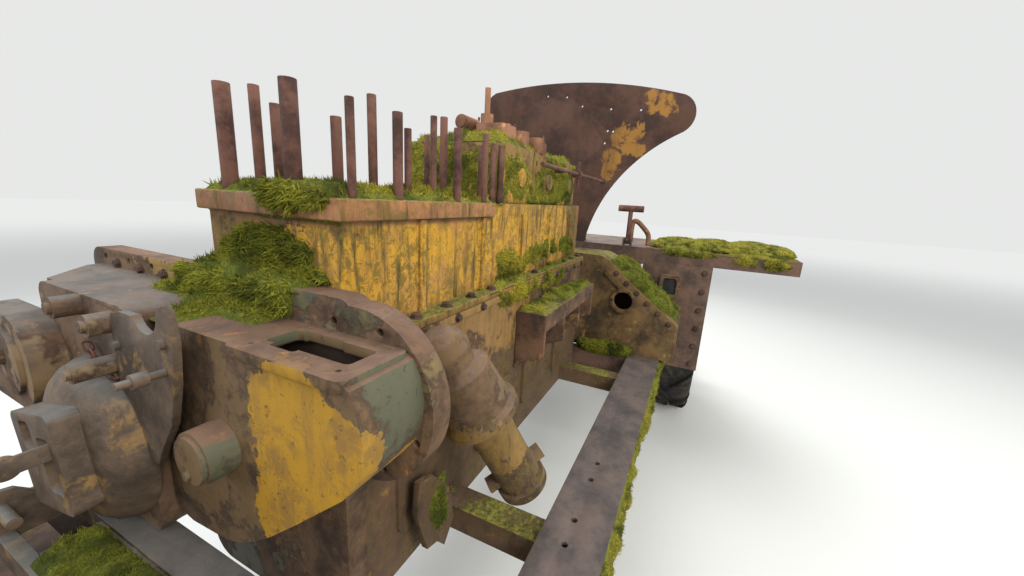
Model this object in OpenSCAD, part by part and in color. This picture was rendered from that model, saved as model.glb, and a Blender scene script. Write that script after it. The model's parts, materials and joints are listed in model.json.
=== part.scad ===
// Logging skidder: a derelict wheeled machine with its engine, gear case and winch open to view.
// +X is the front, +Y the left side and +Z up; the origin is on the floor under the middle.

/* [Frame] */
// Height and width of the H-section rails
rail_size = 200; // [180:1:220]
// Thickness of the rail flanges
rail_flange = 12; // [8:1:18]
// Thickness of the rail webs
rail_web = 9; // [6:1:14]
// Distance between the two rail centres
rail_gauge = 1530; // [1500:1:1560]
// Height of the rail tops above the floor
rail_top = 1000; // [990:1:1020]
// Rear end of the rails
rail_rear = -3000; // [-3060:1:-2990]
// Radius of the bolt holes in the rail tops
rail_hole_r = 10.5; // [6:0.5:14]
// Distance between the two holes of a pair
hole_pair = 104; // [80:1:130]
// Distance from one pair of holes to the next
hole_pitch = 318; // [280:1:360]
// Height of the cross members between the rails
cross_h = 120; // [90:1:130]
// Length of a cross member along the machine
cross_w = 120; // [90:1:140]
// Distance of the nose members from the centre line
nose_y = 410; // [400:1:420]
// Width of a nose member
nose_w = 80; // [70:1:90]
// Front end of the nose frame
nose_front = 2980; // [2960:1:2990]

/* [Wheels] */
// Radius of a tyre over its lugs
tyre_r = 640; // [620:1:650]
// Width of a tyre
tyre_w = 340; // [300:1:350]
// Radius of the wheel rim
rim_r = 310; // [290:1:330]
// Height of the tyre lugs
lug_h = 38; // [20:1:50]
// Number of lugs on each side of a tyre
lug_count = 12; // [8:1:16]
// Place of the rear axle along the machine
rear_axle_x = -2450; // [-2480:1:-2420]
// Place of the front axle along the machine
front_axle_x = 2300; // [2280:1:2310]
// Distance of a rear wheel from the centre line
rear_wheel_y = 1100; // [1090:1:1130]
// Distance of a front wheel from the centre line
front_wheel_y = 960; // [950:1:980]
// Distance of a kingpin from the centre line
kingpin_y = 700; // [690:1:705]
// Radius of a kingpin
kingpin_r = 25; // [18:1:30]
// Length of a steering arm
steer_arm = 200; // [170:1:230]
// Radius of the wheel spindles
spindle_r = 50; // [35:1:60]

/* [Engine] */
// Rear end of the engine
engine_rear = -1270; // [-1280:1:-1260]
// Front end of the engine
engine_front = 650; // [640:1:655]
// Half width of the crankcase
crank_half = 300; // [285:1:310]
// Height of the crankcase top above the floor
crank_top = 1630; // [1620:1:1640]
// Height of the crankcase bottom above the floor
crank_bottom = 880; // [872:1:884]
// Depth of the oil pan
pan_h = 180; // [120:1:200]
// Half width of the cylinder block
block_half = 250; // [240:1:256]
// Height of the block's machined top above the floor
deck_z = 1982; // [1975:1:1990]
// Thickness of the overhanging block lip
lip_h = 52; // [40:1:60]
// Overhang of the block lip
lip_out = 20; // [10:1:30]
// Radius of the open cylinder bores
bore_r = 88; // [70:1:92]
// Height of a cylinder head
head_h = 240; // [220:1:260]
// Half width of a cylinder head
head_half = 230; // [215:1:240]

/* [Gear case] */
// Thickness of the big flange plate
flange_t = 60; // [50:1:70]
// Height of the flange plate's flat top
flange_top = 1775; // [1765:1:1785]
// Depth of the gearbox behind the flange plate
gearbox_depth = 160; // [150:1:170]
// Height of the gearbox's flat top
gearbox_top = 1700; // [1690:1:1708]
// Length of the gearbox's top opening
slot_len = 228; // [190:1:232]
// Width of the gearbox's top opening
slot_w = 74; // [50:1:90]
// Distance across the cover bolt holes along the machine
cover_x = 122; // [112:1:126]
// Distance across the cover bolt holes across the machine
cover_y = 235; // [228:1:240]
// Radius of the cover bolt holes
cover_hole_r = 5.5; // [4:0.5:8]
// Radius of the round case nose where it meets the chain case
nose_r = 215; // [200:1:225]

/* [Bulkhead and deck] */
// Rear face of the bulkhead
bulk_x = 1300; // [1300:1:1310]
// Thickness of the bulkhead plate
bulk_t = 20; // [12:1:26]
// Height of the underside of the deck beam
beam_z = 1590; // [1580:1:1600]
// Height of the deck's walking surface
deck_top = 1690; // [1680:1:1700]
// Half width of the deck
deck_half = 1650; // [1620:1:1680]
// Front edge of the deck
deck_front = 2200; // [2150:1:2240]
// Thickness of the deck plate
deck_t = 20; // [12:1:30]
// Thickness of the flared shield plate
shield_t = 16; // [10:1:24]
// Height of the shield plate's top edge above the floor
shield_top = 2920; // [2900:1:2940]

/* [Winch and arch] */
// Height of the winch drum's shaft
drum_z = 1450; // [1430:1:1470]
// Radius of the drum's barrel
drum_r = 130; // [100:1:150]
// Radius of the drum's end flanges
drum_flange_r = 250; // [220:1:260]
// Distance of the winch side frames from the centre line
winch_half = 330; // [320:1:345]
// Thickness of the winch side frames
winch_t = 30; // [20:1:36]
// Height of the arch above the rails
arch_h = 1818; // [1800:1:1840]
// Rearward lean of the arch in degrees
arch_lean = 10.6; // [10.2:0.1:11]
// Rear end of the fairlead
fair_rear = -3400; // [-3400:1:-3390]
// Radius of a fairlead roller
roller_r = 40; // [32:1:44]

/* [Blade] */
// Width of the front blade
blade_w = 2100; // [1900:1:2200]
// Distance from the blade's pivot to its front end
blade_reach = 750; // [746:1:754]
// Height of the blade's lower edge above the floor
blade_low = 30; // [20:1:50]
// Height of the blade
blade_h = 760; // [740:1:780]
// Radius of the lift cylinder's barrel
barrel_r = 45; // [38:1:48]
// Radius of the lift cylinder's rod
rod_r = 22; // [16:1:28]

/* [Hidden] */
$fn = 48;

rust = "#6b4a35";
dark_rust = "#4a3328";
paint = "#b58a2e";
iron = "#7a6f63";
black_rubber = "#2a2a28";

run_gap = 0.3;
rail_y = rail_gauge / 2;
rail_low = rail_top - rail_size;
web_y = rail_y - rail_web / 2;
cross_top = rail_top - rail_flange;
cross_z = cross_top - cross_h;
axle_z = tyre_r;

// Draws a plan outline upright in the Y-Z plane and thickens it from x0 forward
module slab_x(x0, t) translate([x0, 0, 0]) rotate([90, 0, 90]) linear_extrude(t) children();

// Draws an outline upright in the X-Z plane and thickens it from y0 to the left
module slab_y(y0, t) translate([0, y0 + t, 0]) rotate([90, 0, 0]) linear_extrude(t) children();

// Box between two corners
module block(low, high) translate(low) cube(high - low);

// Round bar along X, along Y and between two points
module bar_x(x0, x1, y, z, r) translate([x0, y, z]) rotate([0, 90, 0]) cylinder(r = r, h = x1 - x0);
module bar_y(y0, y1, x, z, r) translate([x, y0, z]) rotate([-90, 0, 0]) cylinder(r = r, h = y1 - y0);
module bar(p, q, r) {
    d = q - p;
    translate(p) rotate([0, acos(d[2] / norm(d)), atan2(d[1], d[0])]) cylinder(r = r, h = norm(d));
}

// Puts a copy on each side of the centre line
module both_sides() { children(); mirror([0, 1, 0]) children(); }

// Rectangle with rounded corners
module round_rect(low, high, r) {
    translate([low[0] + r, low[1]]) square([high[0] - low[0] - 2 * r, high[1] - low[1]]);
    translate([low[0], low[1] + r]) square([high[0] - low[0], high[1] - low[1] - 2 * r]);
    for (x = [low[0] + r, high[0] - r], y = [low[1] + r, high[1] - r]) translate([x, y]) circle(r);
}

// Rails: H-section beams with pairs of bolt holes in their upper flanges
hole_y = rail_y - rail_web / 2 - rail_hole_r - 2;
first_hole = -513;
hole_pairs = 6;

module rail() color(dark_rust) difference() {
    slab_x(rail_rear, bulk_x - rail_rear) {
        for (z = [rail_low, rail_top - rail_flange])
            translate([rail_y - rail_size / 2, z]) square([rail_size, rail_flange]);
        translate([rail_y - rail_web / 2, rail_low]) square([rail_web, rail_size]);
    }
    for (i = [0 : hole_pairs - 1], k = [0, 1])
        translate([first_hole - i * hole_pitch - k * hole_pair, hole_y, rail_top - rail_flange - 1])
            cylinder(r = rail_hole_r, h = rail_flange + 2);
}

// Cross members: their places along the rails, then the two that the nose members meet
rear_crosses = [rail_rear + cross_w / 2, rear_axle_x - 250, rear_axle_x + 250, -1650];
nose_start = engine_front + 130;
nose_cross_x = bulk_x - cross_w - 20;

module cross_members() color(rust) {
    difference() {
        for (x = rear_crosses)
            block([x - cross_w / 2, -web_y, cross_z], [x + cross_w / 2, web_y, cross_top]);
        bar_x(rear_crosses[3] - cross_w, rear_crosses[3] + cross_w, 0, cross_z - 18, shaft_r + 38);
    }
    block([nose_start - 100, -web_y, cross_z], [nose_start, web_y, cross_top]);
    block([nose_cross_x, nose_w / 2 - nose_y, cross_z],
        [nose_cross_x + cross_w, nose_y - nose_w / 2, cross_top]);
    both_sides() block([nose_cross_x, nose_y + nose_w / 2, cross_z],
        [nose_cross_x + cross_w, web_y, cross_top]);
}

// Nose frame: two members, a front box, the blade's hinge cheeks and the lift tower
front_box = 130;
pivot_x = 2650;
pivot_z = 700;
pivot_pin_r = 20;
arm_t = 32;
cheek_t = 18;
side_gap = 5;
lift_x = 3030;
lift_z = 1260;
lift_pin_r = 15;
lift_eye = 50;
lug_t = 20;
lug_r = 40;

module nose_frame() color(rust) {
    both_sides() {
        block([nose_start, nose_y - nose_w / 2, rail_low], [nose_front, nose_y + nose_w / 2, rail_top]);
        for (y = [nose_y - arm_t / 2 - side_gap - cheek_t, nose_y + arm_t / 2 + side_gap])
            slab_y(y, cheek_t) {
                translate([pivot_x, pivot_z]) circle(45);
                polygon([[pivot_x - 90, rail_low], [pivot_x - 44, pivot_z],
                    [pivot_x + 44, pivot_z], [pivot_x + 90, rail_low]]);
            }
        bar_y(nose_y - arm_t / 2 - side_gap - 1, nose_y + arm_t / 2 + side_gap + 1,
            pivot_x, pivot_z, pivot_pin_r);
    }
    block([nose_front - front_box, -nose_y, rail_top - 120], [nose_front, nose_y, rail_top]);
    both_sides() slab_y(lift_eye / 2 + side_gap, lug_t) {
        polygon([[nose_front - front_box, rail_top], [nose_front - 15, rail_top],
            [nose_front - 5, lift_z - 60], [lift_x + 5, lift_z - lug_r + 1],
            [lift_x - 5, lift_z + lug_r - 1], [nose_front - 40, lift_z + 30]]);
        translate([lift_x, lift_z]) circle(lug_r);
    }
    bar_y(-lift_eye / 2 - side_gap - 1, lift_eye / 2 + side_gap + 1, lift_x, lift_z, lift_pin_r);
}

// Rear axle: housing, pinion nose, tubes, rail pads and spindles
tube_r = 75;
hub_back = 215;
hub_front_back = 155;
stub_in = rear_wheel_y - hub_back - side_gap;

module rear_axle() color(iron) {
    translate([rear_axle_x, 0, axle_z]) rotate([0, 90, 0]) rotate_extrude()
        polygon([[0, -185], [90, -172], [165, -110], [190, -30], [215, -26], [215, 26], [190, 30],
            [150, 130], [88, 200], [88, 300], [110, 300], [110, 340], [0, 340]]);
    bar_y(-stub_in, stub_in, rear_axle_x, axle_z, tube_r);
    both_sides() {
        bar_y(stub_in - 24, stub_in, rear_axle_x, axle_z, 120);
        bar_y(stub_in, rear_wheel_y + 8, rear_axle_x, axle_z, spindle_r);
        block([rear_axle_x - 70, rail_y - 70, axle_z], [rear_axle_x + 70, rail_y + 70, rail_low]);
    }
}

// Drive shaft: tube with a joint yoke at each end
shaft_r = 42;
shaft_rear = [rear_axle_x + 340, 0, axle_z];
shaft_front = [engine_rear - flange_t - 90, 0, 900];

module drive_shaft() color(iron) {
    rear_bend = shaft_rear + [70, 0, 0];
    front_bend = shaft_front - [70, 0, 0];
    bar(shaft_rear, rear_bend, 60);
    bar(front_bend, shaft_front, 60);
    bar(rear_bend, front_bend, shaft_r);
    for (p = [rear_bend, front_bend]) translate(p) sphere(66);
}

// Front axle: beam with a deeper middle, kingpin eyes and pads under the nose members
eye_r = 60;
eye_half = 50;

module front_axle() color(iron) difference() {
    translate([front_axle_x, 0, axle_z]) {
        block([-55, -kingpin_y, -eye_half], [55, kingpin_y, eye_half]);
        slab_y(-520, 1040) translate([0, -10]) square([130, 150], center = true);
        both_sides() {
            translate([0, kingpin_y, -eye_half]) cylinder(r = eye_r, h = 2 * eye_half);
            block([-65, nose_y - 50, 0], [65, nose_y + 50, rail_low - axle_z]);
        }
    }
    both_sides() translate([front_axle_x, kingpin_y, axle_z - 100])
        cylinder(r = kingpin_r + run_gap, h = 200);
}

// Knuckle: fork, kingpin, spindle and steering arm, drawn about its kingpin
fork_t = 36;
fork_gap = 5;
fork_out = eye_half + fork_gap + fork_t;
web_in = eye_r + fork_gap;
arm_h = 30;
tie_pin_r = 12;
tie_h = 40;

module knuckle() color(iron) {
    for (z = [-fork_out, eye_half + fork_gap]) translate([0, 0, z]) {
        cylinder(r = eye_r, h = fork_t);
        block([-eye_r, 0, 0], [eye_r, web_in + 5, fork_t]);
    }
    translate([0, 0, -fork_out]) cylinder(r = kingpin_r, h = 2 * fork_out);
    block([-eye_r, web_in, -fork_out], [eye_r, web_in + 35, fork_out]);
    bar_y(web_in + 30, front_wheel_y - kingpin_y + 8, 0, 0, spindle_r);
    block([-steer_arm, -28, -fork_out], [0, 28, arm_h - fork_out]);
    translate([-steer_arm, 0, -fork_out]) cylinder(r = 34, h = arm_h);
    translate([-steer_arm, 0, -fork_out - tie_h - 8]) cylinder(r = tie_pin_r, h = tie_h + 10);
}

module knuckle_left() translate([front_axle_x, kingpin_y, axle_z]) knuckle();
module knuckle_right() mirror([0, 1, 0]) knuckle_left();

// Tie rod: bar and two eyes under the steering arms
tie_z = axle_z - fork_out - side_gap - tie_h / 2;

module tie_rod() color(iron) translate([front_axle_x - steer_arm, 0, tie_z]) difference() {
    union() {
        bar_y(-kingpin_y, kingpin_y, 0, 0, 17);
        both_sides() translate([0, kingpin_y, -tie_h / 2]) cylinder(r = 32, h = tie_h);
    }
    both_sides() translate([0, kingpin_y, -tie_h]) cylinder(r = tie_pin_r + run_gap, h = 2 * tie_h);
}

// Tyre: revolved carcass with chevron lugs, drawn about its axle with +Z outward
carcass_r = tyre_r - lug_h;
lug_lean = 38;
lug_w = 46;

module tyre_profile() {
    bead = tyre_w / 2 - 34;
    polygon([[rim_r, -bead], [rim_r + 24, -bead - 3], [rim_r + 80, -tyre_w / 2 + 4],
        [rim_r + 150, -tyre_w / 2], [carcass_r - 60, -tyre_w / 2 + 4], [carcass_r - 12, -tyre_w / 2 + 26],
        [carcass_r, -tyre_w / 2 + 60], [carcass_r, tyre_w / 2 - 60], [carcass_r - 12, tyre_w / 2 - 26],
        [carcass_r - 60, tyre_w / 2 - 4], [rim_r + 150, tyre_w / 2], [rim_r + 80, tyre_w / 2 - 4],
        [rim_r + 24, bead + 3], [rim_r, bead]]);
}

module lug(side) intersection() {
    translate([carcass_r - 20, 0, side * (tyre_w / 4 + 4)]) rotate([side * lug_lean, 0, 0])
        block([0, -lug_w / 2, -tyre_w], [lug_h + 30, lug_w / 2, tyre_w]);
    translate([0, -tyre_w / 2, side > 0 ? 8 : -tyre_w / 2 + 6]) cube([tyre_r * 2, tyre_w, tyre_w / 2 - 14]);
    cylinder(r = tyre_r, h = tyre_w, center = true);
}

module tyre() color(black_rubber) {
    rotate_extrude() tyre_profile();
    for (i = [0 : lug_count - 1], side = [-1, 1])
        rotate([0, 0, (i + (side > 0 ? 0.5 : 0)) * 360 / lug_count]) lug(side);
}

// Rim: barrel, dished disc with hand holes, and the hub that turns on the spindle
module rim(hub_in) color(paint) difference() {
    rotate_extrude() {
        barrel = tyre_w / 2 - 34;
        polygon([[rim_r - 22, -barrel - 12], [rim_r + 16, -barrel - 12], [rim_r + 16, -barrel - 6],
            [rim_r - run_gap, -barrel - 4], [rim_r - run_gap, barrel + 4], [rim_r + 16, barrel + 6],
            [rim_r + 16, barrel + 12], [rim_r - 22, barrel + 12]]);
        polygon([[spindle_r + run_gap, -10], [rim_r - 80, -10], [rim_r - 20, 50], [rim_r - 20, 66],
            [rim_r - 90, 8], [spindle_r + run_gap, 8]]);
        polygon([[spindle_r + run_gap, -hub_in], [95, -hub_in], [95, -40], [130, -20], [130, -8],
            [95, 30], [0, 30], [0, 14], [spindle_r + run_gap, 14]]);
    }
    for (i = [0 : 7]) rotate([0, 0, (i + 0.5) * 45]) translate([185, 0, -20]) cylinder(r = 26, h = 60);
}

module wheel_place(x, y) translate([x, y, axle_z]) rotate([y > 0 ? -90 : 90, 0, 0]) rotate([0, 0, 90])
    children();

// Crankcase: lower casting with rail arms, side doors, bolt flange and oil pan
arm_x = [-900, 400];
door_count = 4;

module crankcase() color(rust) {
    block([engine_rear, -crank_half, crank_bottom], [engine_front, crank_half, crank_top - 28]);
    block([engine_rear, -crank_half - 12, crank_top - 28], [engine_front, crank_half + 12, crank_top]);
    translate([engine_rear + 120, 0, crank_bottom - pan_h]) {
        block([0, -190, 0], [engine_front - engine_rear - 240, 190, pan_h]);
        block([-40, -230, pan_h - 24], [engine_front - engine_rear - 200, 230, pan_h]);
    }
    slab_y(-crank_half - 70, 22) polygon([[-1150, 1105], [-1138, 1205], [-1075, 1190], [-990, 1090],
        [-955, 950], [-1010, 880], [-1050, 930], [-1100, 945]]);
    block([-1090, -crank_half - 60, 1000], [-1040, -crank_half + 5, 1060]);
    both_sides() {
        for (x = arm_x)
            block([x - 50, crank_half - 5, crank_bottom + 8], [x + 50, web_y, crank_bottom + 98]);
        for (i = [0 : door_count - 1]) translate([engine_rear + 260 + i * 440, crank_half - 1, 1130])
            rotate([-90, 0, 0]) linear_extrude(16) round_rect([-150, -120], [150, 120], 40);
    }
}

// Cylinder block: foot flange, side walls, overhanging lip and three open bores
bore_x = [-1105, -885, -665];
bore_floor = 1720;

module cylinder_block() color(paint) difference() {
    union() {
        block([engine_rear, -crank_half - 12, crank_top], [engine_front, crank_half + 12, crank_top + 26]);
        block([engine_rear, -block_half, crank_top + 20], [engine_front, block_half, deck_z - lip_h + 5]);
        block([engine_rear - 20, -block_half - lip_out, deck_z - lip_h],
            [-560, block_half + lip_out, deck_z]);
        block([-600, -block_half, deck_z - lip_h], [engine_front, block_half, deck_z]);
        both_sides() for (x = [-1000 : 360 : 500])
            block([x, block_half - 5, crank_top + 20], [x + 26, block_half + 14, deck_z - lip_h + 5]);
    }
    for (x = bore_x) translate([x, 0, bore_floor]) cylinder(r = bore_r, h = deck_z);
}

module pistons() color(iron) for (i = [0 : 2])
    translate([bore_x[i], 0, bore_floor]) difference() {
        cylinder(r = bore_r - run_gap, h = 110 + 45 * i);
        translate([0, 0, 90 + 45 * i]) cylinder(r = bore_r * 0.5, h = 60);
    }

// Studs left standing where heads are gone: [x, y, radius, height]
studs = [[-1240, 190, 20, 270], [-1240, -66, 20, 262], [-1222, 88, 13, 262], [-1119, 162, 13, 245],
    [-1172, -139, 13, 190], [-1232, -250, 10, 215], [-1075, -160, 12, 262], [-1081, -251, 13, 215],
    [-1005, -220, 10, 190], [-760, -97, 9, 215], [-889, -220, 10, 245], [-792, -188, 12, 262],
    [-806, -252, 13, 225], [-552, -190, 9.5, 210], [-616, -245, 11, 240], [-535, -235, 11, 218],
    [-509, -255, 13, 215]];

module head_studs() color(dark_rust) for (s = studs) {
    translate([s[0], s[1], deck_z]) cylinder(r = s[2], h = s[3]);
}

// Cylinder heads that are still in place, with their port flanges
head_len = 338;
head_pitch = 346;
head_first = -470;
port_x = 156;

module cylinder_heads() color(paint) for (i = [0 : 2]) translate([head_first + i * head_pitch, 0, deck_z]) {
    block([0, -head_half, 0], [head_len, head_half, head_h]);
    both_sides() translate([port_x, head_half - 1, 110]) rotate([-90, 0, 0]) {
        cylinder(r = 56, h = 18);
        cylinder(r = 40, h = 34);
    }
}

// Rocker gear: small broken box with a collar and pipe, a round filter, two cups and bare shafts
rocker_z = deck_z + head_h;
rocker_box = [-390, -200];
// Cups: [x, y, radius, height]
rocker_cups = [[-150, -165, 40, 84], [-40, -200, 38, 72], [60, -190, 26, 60]];

module rocker_gear() color("#b4622a") {
    translate([rocker_box[0], rocker_box[1], rocker_z]) {
        linear_extrude(20) round_rect([-8, -8], [138, 148], 26);
        translate([0, 0, 19]) linear_extrude(62) round_rect([0, 0], [130, 140], 18);
        translate([44, 106, 80]) cylinder(r = 27, h = 44);
        translate([44, 106, 123]) cylinder(r = 12, h = 104);
        translate([90, 34, 80]) cylinder(r = 17, h = 12);
    }
    translate([-390, 0, rocker_z]) {
        block([10, -16, 0], [90, 16, 62]);
        bar_x(-12, 110, 0, 88, 30);
        bar_x(-20, -10, 0, 88, 24);
    }
    for (c = rocker_cups) translate([c[0], c[1], rocker_z]) difference() {
        cylinder(r = c[2], h = c[3]);
        translate([0, 0, 14]) cylinder(r = c[2] - 7, h = c[3]);
    }
    for (i = [1, 2]) translate([head_first + i * head_pitch + 60, 60, rocker_z]) {
        for (x = [0, 110, 220]) block([x - 14, -60, 0], [x + 14, 60, 62]);
        bar_x(-30, 250, 0, 46, 15);
    }
}

// Control rod: long rod beside the heads on two arms, with a collar and a short lever
control_z = 2162;
control_y = -300;

module control_shaft() color(iron) {
    bar_x(-190, 1130, control_y, control_z, 10);
    for (x = [130, 470]) bar_y(control_y, -head_half, x, control_z, 14);
    for (x = [372, 1040]) bar_x(x, x + 38, control_y, control_z, 22);
    block([384, control_y - 7, control_z - 78], [398, control_y + 7, control_z + 70]);
}

// Side shelf: open bracket on ribs on the right flank of the crankcase
shelf_x0 = -380;
shelf_x1 = 465;
shelf_z = 1520;
shelf_out = 440;
shelf_ribs = 4;

module side_shelf() color(paint) {
    block([shelf_x0, -shelf_out, shelf_z - 26], [shelf_x1, -crank_half, shelf_z]);
    block([shelf_x0, -shelf_out, shelf_z - 80], [shelf_x1, -shelf_out + 18, shelf_z]);
    for (i = [0 : shelf_ribs - 1])
        translate([shelf_x0 + i * (shelf_x1 - shelf_x0 - 22) / (shelf_ribs - 1), 0, 0])
            rotate([90, 0, 90]) linear_extrude(22) polygon([[-crank_half, shelf_z - 20],
                [-shelf_out, shelf_z - 20], [-shelf_out, shelf_z - 200], [-crank_half - 16, 1270],
                [-crank_half - 16, 1251], [-crank_half, 1251]]);
}

// Flange plate: the broad joint face between the engine and the gear case
plate_x = engine_rear - flange_t;
lobe_y = -352;
lobe_z = 1562;
lobe_r = 202;
lobe_hole_angles = [68, 113, 157, 202, 247];
ridge_hole_y = [209, 324, 458, 592, 740];
plate_hole_r = 9;

module flange_plate() color(paint) difference() {
    slab_x(plate_x, flange_t) {
        translate([lobe_y, lobe_z]) circle(lobe_r);
        round_rect([lobe_y, 1400], [830, flange_top], 50);
        round_rect([-300, 830], [300, 1500], 80);
    }
    for (a = lobe_hole_angles) translate([0, lobe_y, lobe_z]) rotate([a, 0, 0])
        bar_x(plate_x - 1, plate_x + 24, lobe_r - 30, 0, plate_hole_r);
    for (y = ridge_hole_y) bar_x(plate_x - 1, plate_x + 24, y, flange_top - 26, plate_hole_r);
}

// Gearbox: sloping-bottomed housing with an open top, cover holes, a boss and a shift shaft inside
box_right = -531;
box_left = 112;
gear_x = plate_x - gearbox_depth;
slot_x = plate_x - 75;
slot_y = -338;
wall = 26;
boss_at = [-133, 1461];
boss_r = 58;

// Outline of the gearbox seen from behind
module gearbox_outline() polygon([[10, gearbox_top], [-470, gearbox_top], [-505, 1684], [-522, 1650],
    [box_right, 1600], [-527, 1550], [-508, 1505], [-478, 1468], [-431, 1428], [-341, 1352], [-262, 1288],
    [-205, 1248], [-150, 1218], [-94, 1200], [40, 1190], [92, 1200], [110, 1235],
    [box_left, 1330], [108, 1420], [94, 1560], [86, 1630], [74, 1664], [48, 1690]]);

module gearbox() color(paint) {
    difference() {
        union() {
            slab_x(gear_x, gearbox_depth) gearbox_outline();
            translate([gear_x - 8, 0, gearbox_top - 22]) linear_extrude(22)
                round_rect([0, -496], [gearbox_depth + 8, -180], 20);
            bar_x(gear_x - 58, gear_x + 1, boss_at[0], boss_at[1], boss_r);
            bar_x(gear_x - 66, gear_x, boss_at[0], boss_at[1], boss_r - 8);
            bar_x(gear_x - 72, gear_x, boss_at[0] + 8, boss_at[1] - 34, 9);
        }
        block([gear_x + wall, -490, 1500], [plate_x - wall, -150, gearbox_top - 24]);
        translate([slot_x, slot_y, gearbox_top - 60]) linear_extrude(80) {
            round_rect([-slot_w / 2, -slot_len / 2], [slot_w / 2, slot_len / 2], 12);
            round_rect([-slot_w / 2 - 12, 14], [0, 84], 8);
            round_rect([0, -20], [slot_w / 2 + 6, 92], 6);
        }
        for (x = [-cover_x / 2, cover_x / 2], y = [-cover_y / 2, cover_y / 2])
            translate([slot_x + x, slot_y + y, gearbox_top - 24]) cylinder(r = cover_hole_r, h = 30);
        bar_x(gear_x - 60, gear_x - 48, boss_at[0] + 22, boss_at[1] + 16, 6);
    }
    bar_y(-491, -149, slot_x - 12, 1592, 17);
    translate([slot_x - 12, slot_y + 20, 1592]) sphere(34);
    bar_y(-470, -380, slot_x - 12, 1592, 27);
}

// Chain case: the broad left box with its shaft bosses and a rounded side housing
// Bosses: [y, z, radius, length]
bosses = [[361, 1694, 26, 48], [190, 1682, 25, 48], [195, 1582, 22, 82]];
chain_left = 600;
chain_top = 1722;
chain_depth = 190;
case_x = plate_x - chain_depth;

module chain_case() color(paint) {
    slab_x(case_x, chain_depth) round_rect([120, 1135], [chain_left, chain_top], 40);
    translate([case_x, 0, chain_top - 90]) linear_extrude(90)
        polygon([[20, 480], [120, 420], [chain_depth, 400], [chain_depth, 770], [150, 762], [20, 604]]);
    for (b = bosses) {
        bar_x(case_x - b[3], case_x + 1, b[0], b[1], b[2]);
        bar_x(case_x - b[3] - 8, case_x, b[0], b[1], b[2] * 0.55);
    }
    slab_x(case_x - 70, 71) round_rect([490, 1380], [880, 1640], 110);
    slab_x(case_x - 80, 20) round_rect([530, 1420], [840, 1600], 80);
    bar_x(case_x - 96, case_x, 640, 1530, 30);
}

// Case nose: round shoulder on the chain case, a squarish slotted head and a lever stuck in it
nose_y0 = 295;
nose_z = 1360;
head_turn = -13;
head_x = case_x - 126;

module case_nose() color(iron) {
    difference() {
        union() {
            translate([case_x, nose_y0, nose_z]) rotate([0, -90, 0]) rotate_extrude()
                polygon([[0, 0], [nose_r, 0], [nose_r - 4, 22], [nose_r - 16, 46], [nose_r - 38, 66],
                    [nose_r - 68, 80], [0, 84]]);
            translate([0, nose_y0, nose_z]) rotate([head_turn, 0, 0])
                slab_x(head_x, 50) round_rect([-120, -118], [120, 118], 26);
        }
        translate([0, nose_y0, nose_z]) rotate([head_turn, 0, 0]) slab_x(head_x - 1, 45) {
            round_rect([-90, -70], [-14, 62], 16);
            round_rect([10, 30], [76, 96], 16);
        }
    }
    translate([0, nose_y0, nose_z]) rotate([head_turn, 0, 0]) slab_y(-84, 14) {
        translate([head_x - 62, 34]) circle(25);
        translate([head_x - 62, 16]) square([116, 36]);
    }
}

// Bracket plate: scalloped plate bolted to the chain case, with a stud and its nut
bracket_t = 16;
bracket_bolts = [[140, 1640], [-54, 1684]];

module bracket_plate() color(rust) {
    slab_x(case_x - bracket_t, bracket_t) difference() {
        polygon([[160, 1690], [150, 1712], [110, 1722], [60, 1722], [-44, 1752], [-72, 1764], [-86, 1740],
            [-90, 1690], [-76, 1600], [-42, 1500], [14, 1424], [44, 1376], [160, 1376]]);
        translate([8, 1742]) circle(50);
        translate([nose_y0, nose_z]) circle(nose_r + 5);
    }
    for (p = bracket_bolts)
        bar_x(case_x - bracket_t - 9, case_x - bracket_t + 1, p[0], p[1], 11);
    bar_x(case_x - 92, case_x - bracket_t + 1, -46, 1622, 8);
    bar_x(case_x - 70, case_x - 44, -46, 1622, 15);
}

// Cradle: broken stand under the chain case, on the cross member behind it
cradle_top = 1130;

module case_cradle() color(rust) {
    block([case_x - 46, -360, cradle_top - 60], [case_x + 40, 600, cradle_top]);
    block([-1705, -120, cradle_top - 26], [case_x - 40, 330, cradle_top - 12]);
    block([-1705, -340, cradle_top - 80], [-1675, 600, cradle_top - 10]);
    for (y = [-320, 200]) block([-1700, y, cross_top], [-1600, y + 24, cradle_top - 20]);
    for (y = [-320, 200]) block([-1700, y, cradle_top - 70], [case_x, y + 24, cradle_top - 20]);
    slab_y(470, 16) polygon([[-1705, cradle_top - 30], [case_x - 40, cradle_top - 30],
        [case_x - 40, cradle_top + 4], [-1660, 1232], [-1705, 1240]]);
    bar_y(380, 640, -1688, 1190, 14);
}

// Coolant pump: drooping capped barrel with a flared lip, neck and strap
pump_top = [-1100, -420, 1600];
pump_end = [-905, -606, 1115];
pump_dir = pump_end - pump_top;
pump_len = norm(pump_dir);

module coolant_pump() color(rust) {
    translate(pump_top) rotate([0, acos(pump_dir[2] / pump_len), atan2(pump_dir[1], pump_dir[0])]) {
        rotate_extrude() polygon([[0, -70], [38, -62], [62, -38], [70, 0], [62, 22], [64, 44], [92, 66],
            [99, 190], [113, 204], [113, 222], [92, 230], [72, 262], [66, 300], [66, pump_len - 30],
            [0, pump_len - 30]]);
        translate([0, 0, pump_len - 60]) cylinder(r = 78, h = 28);
        translate([-95, -26, pump_len - 110]) cube([190, 52, 18]);
    }
    bar_y(-470, -crank_half, -1040, 1470, 48);
    bar_y(-crank_half - 22, -crank_half, -1040, 1470, 78);
}

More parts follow.
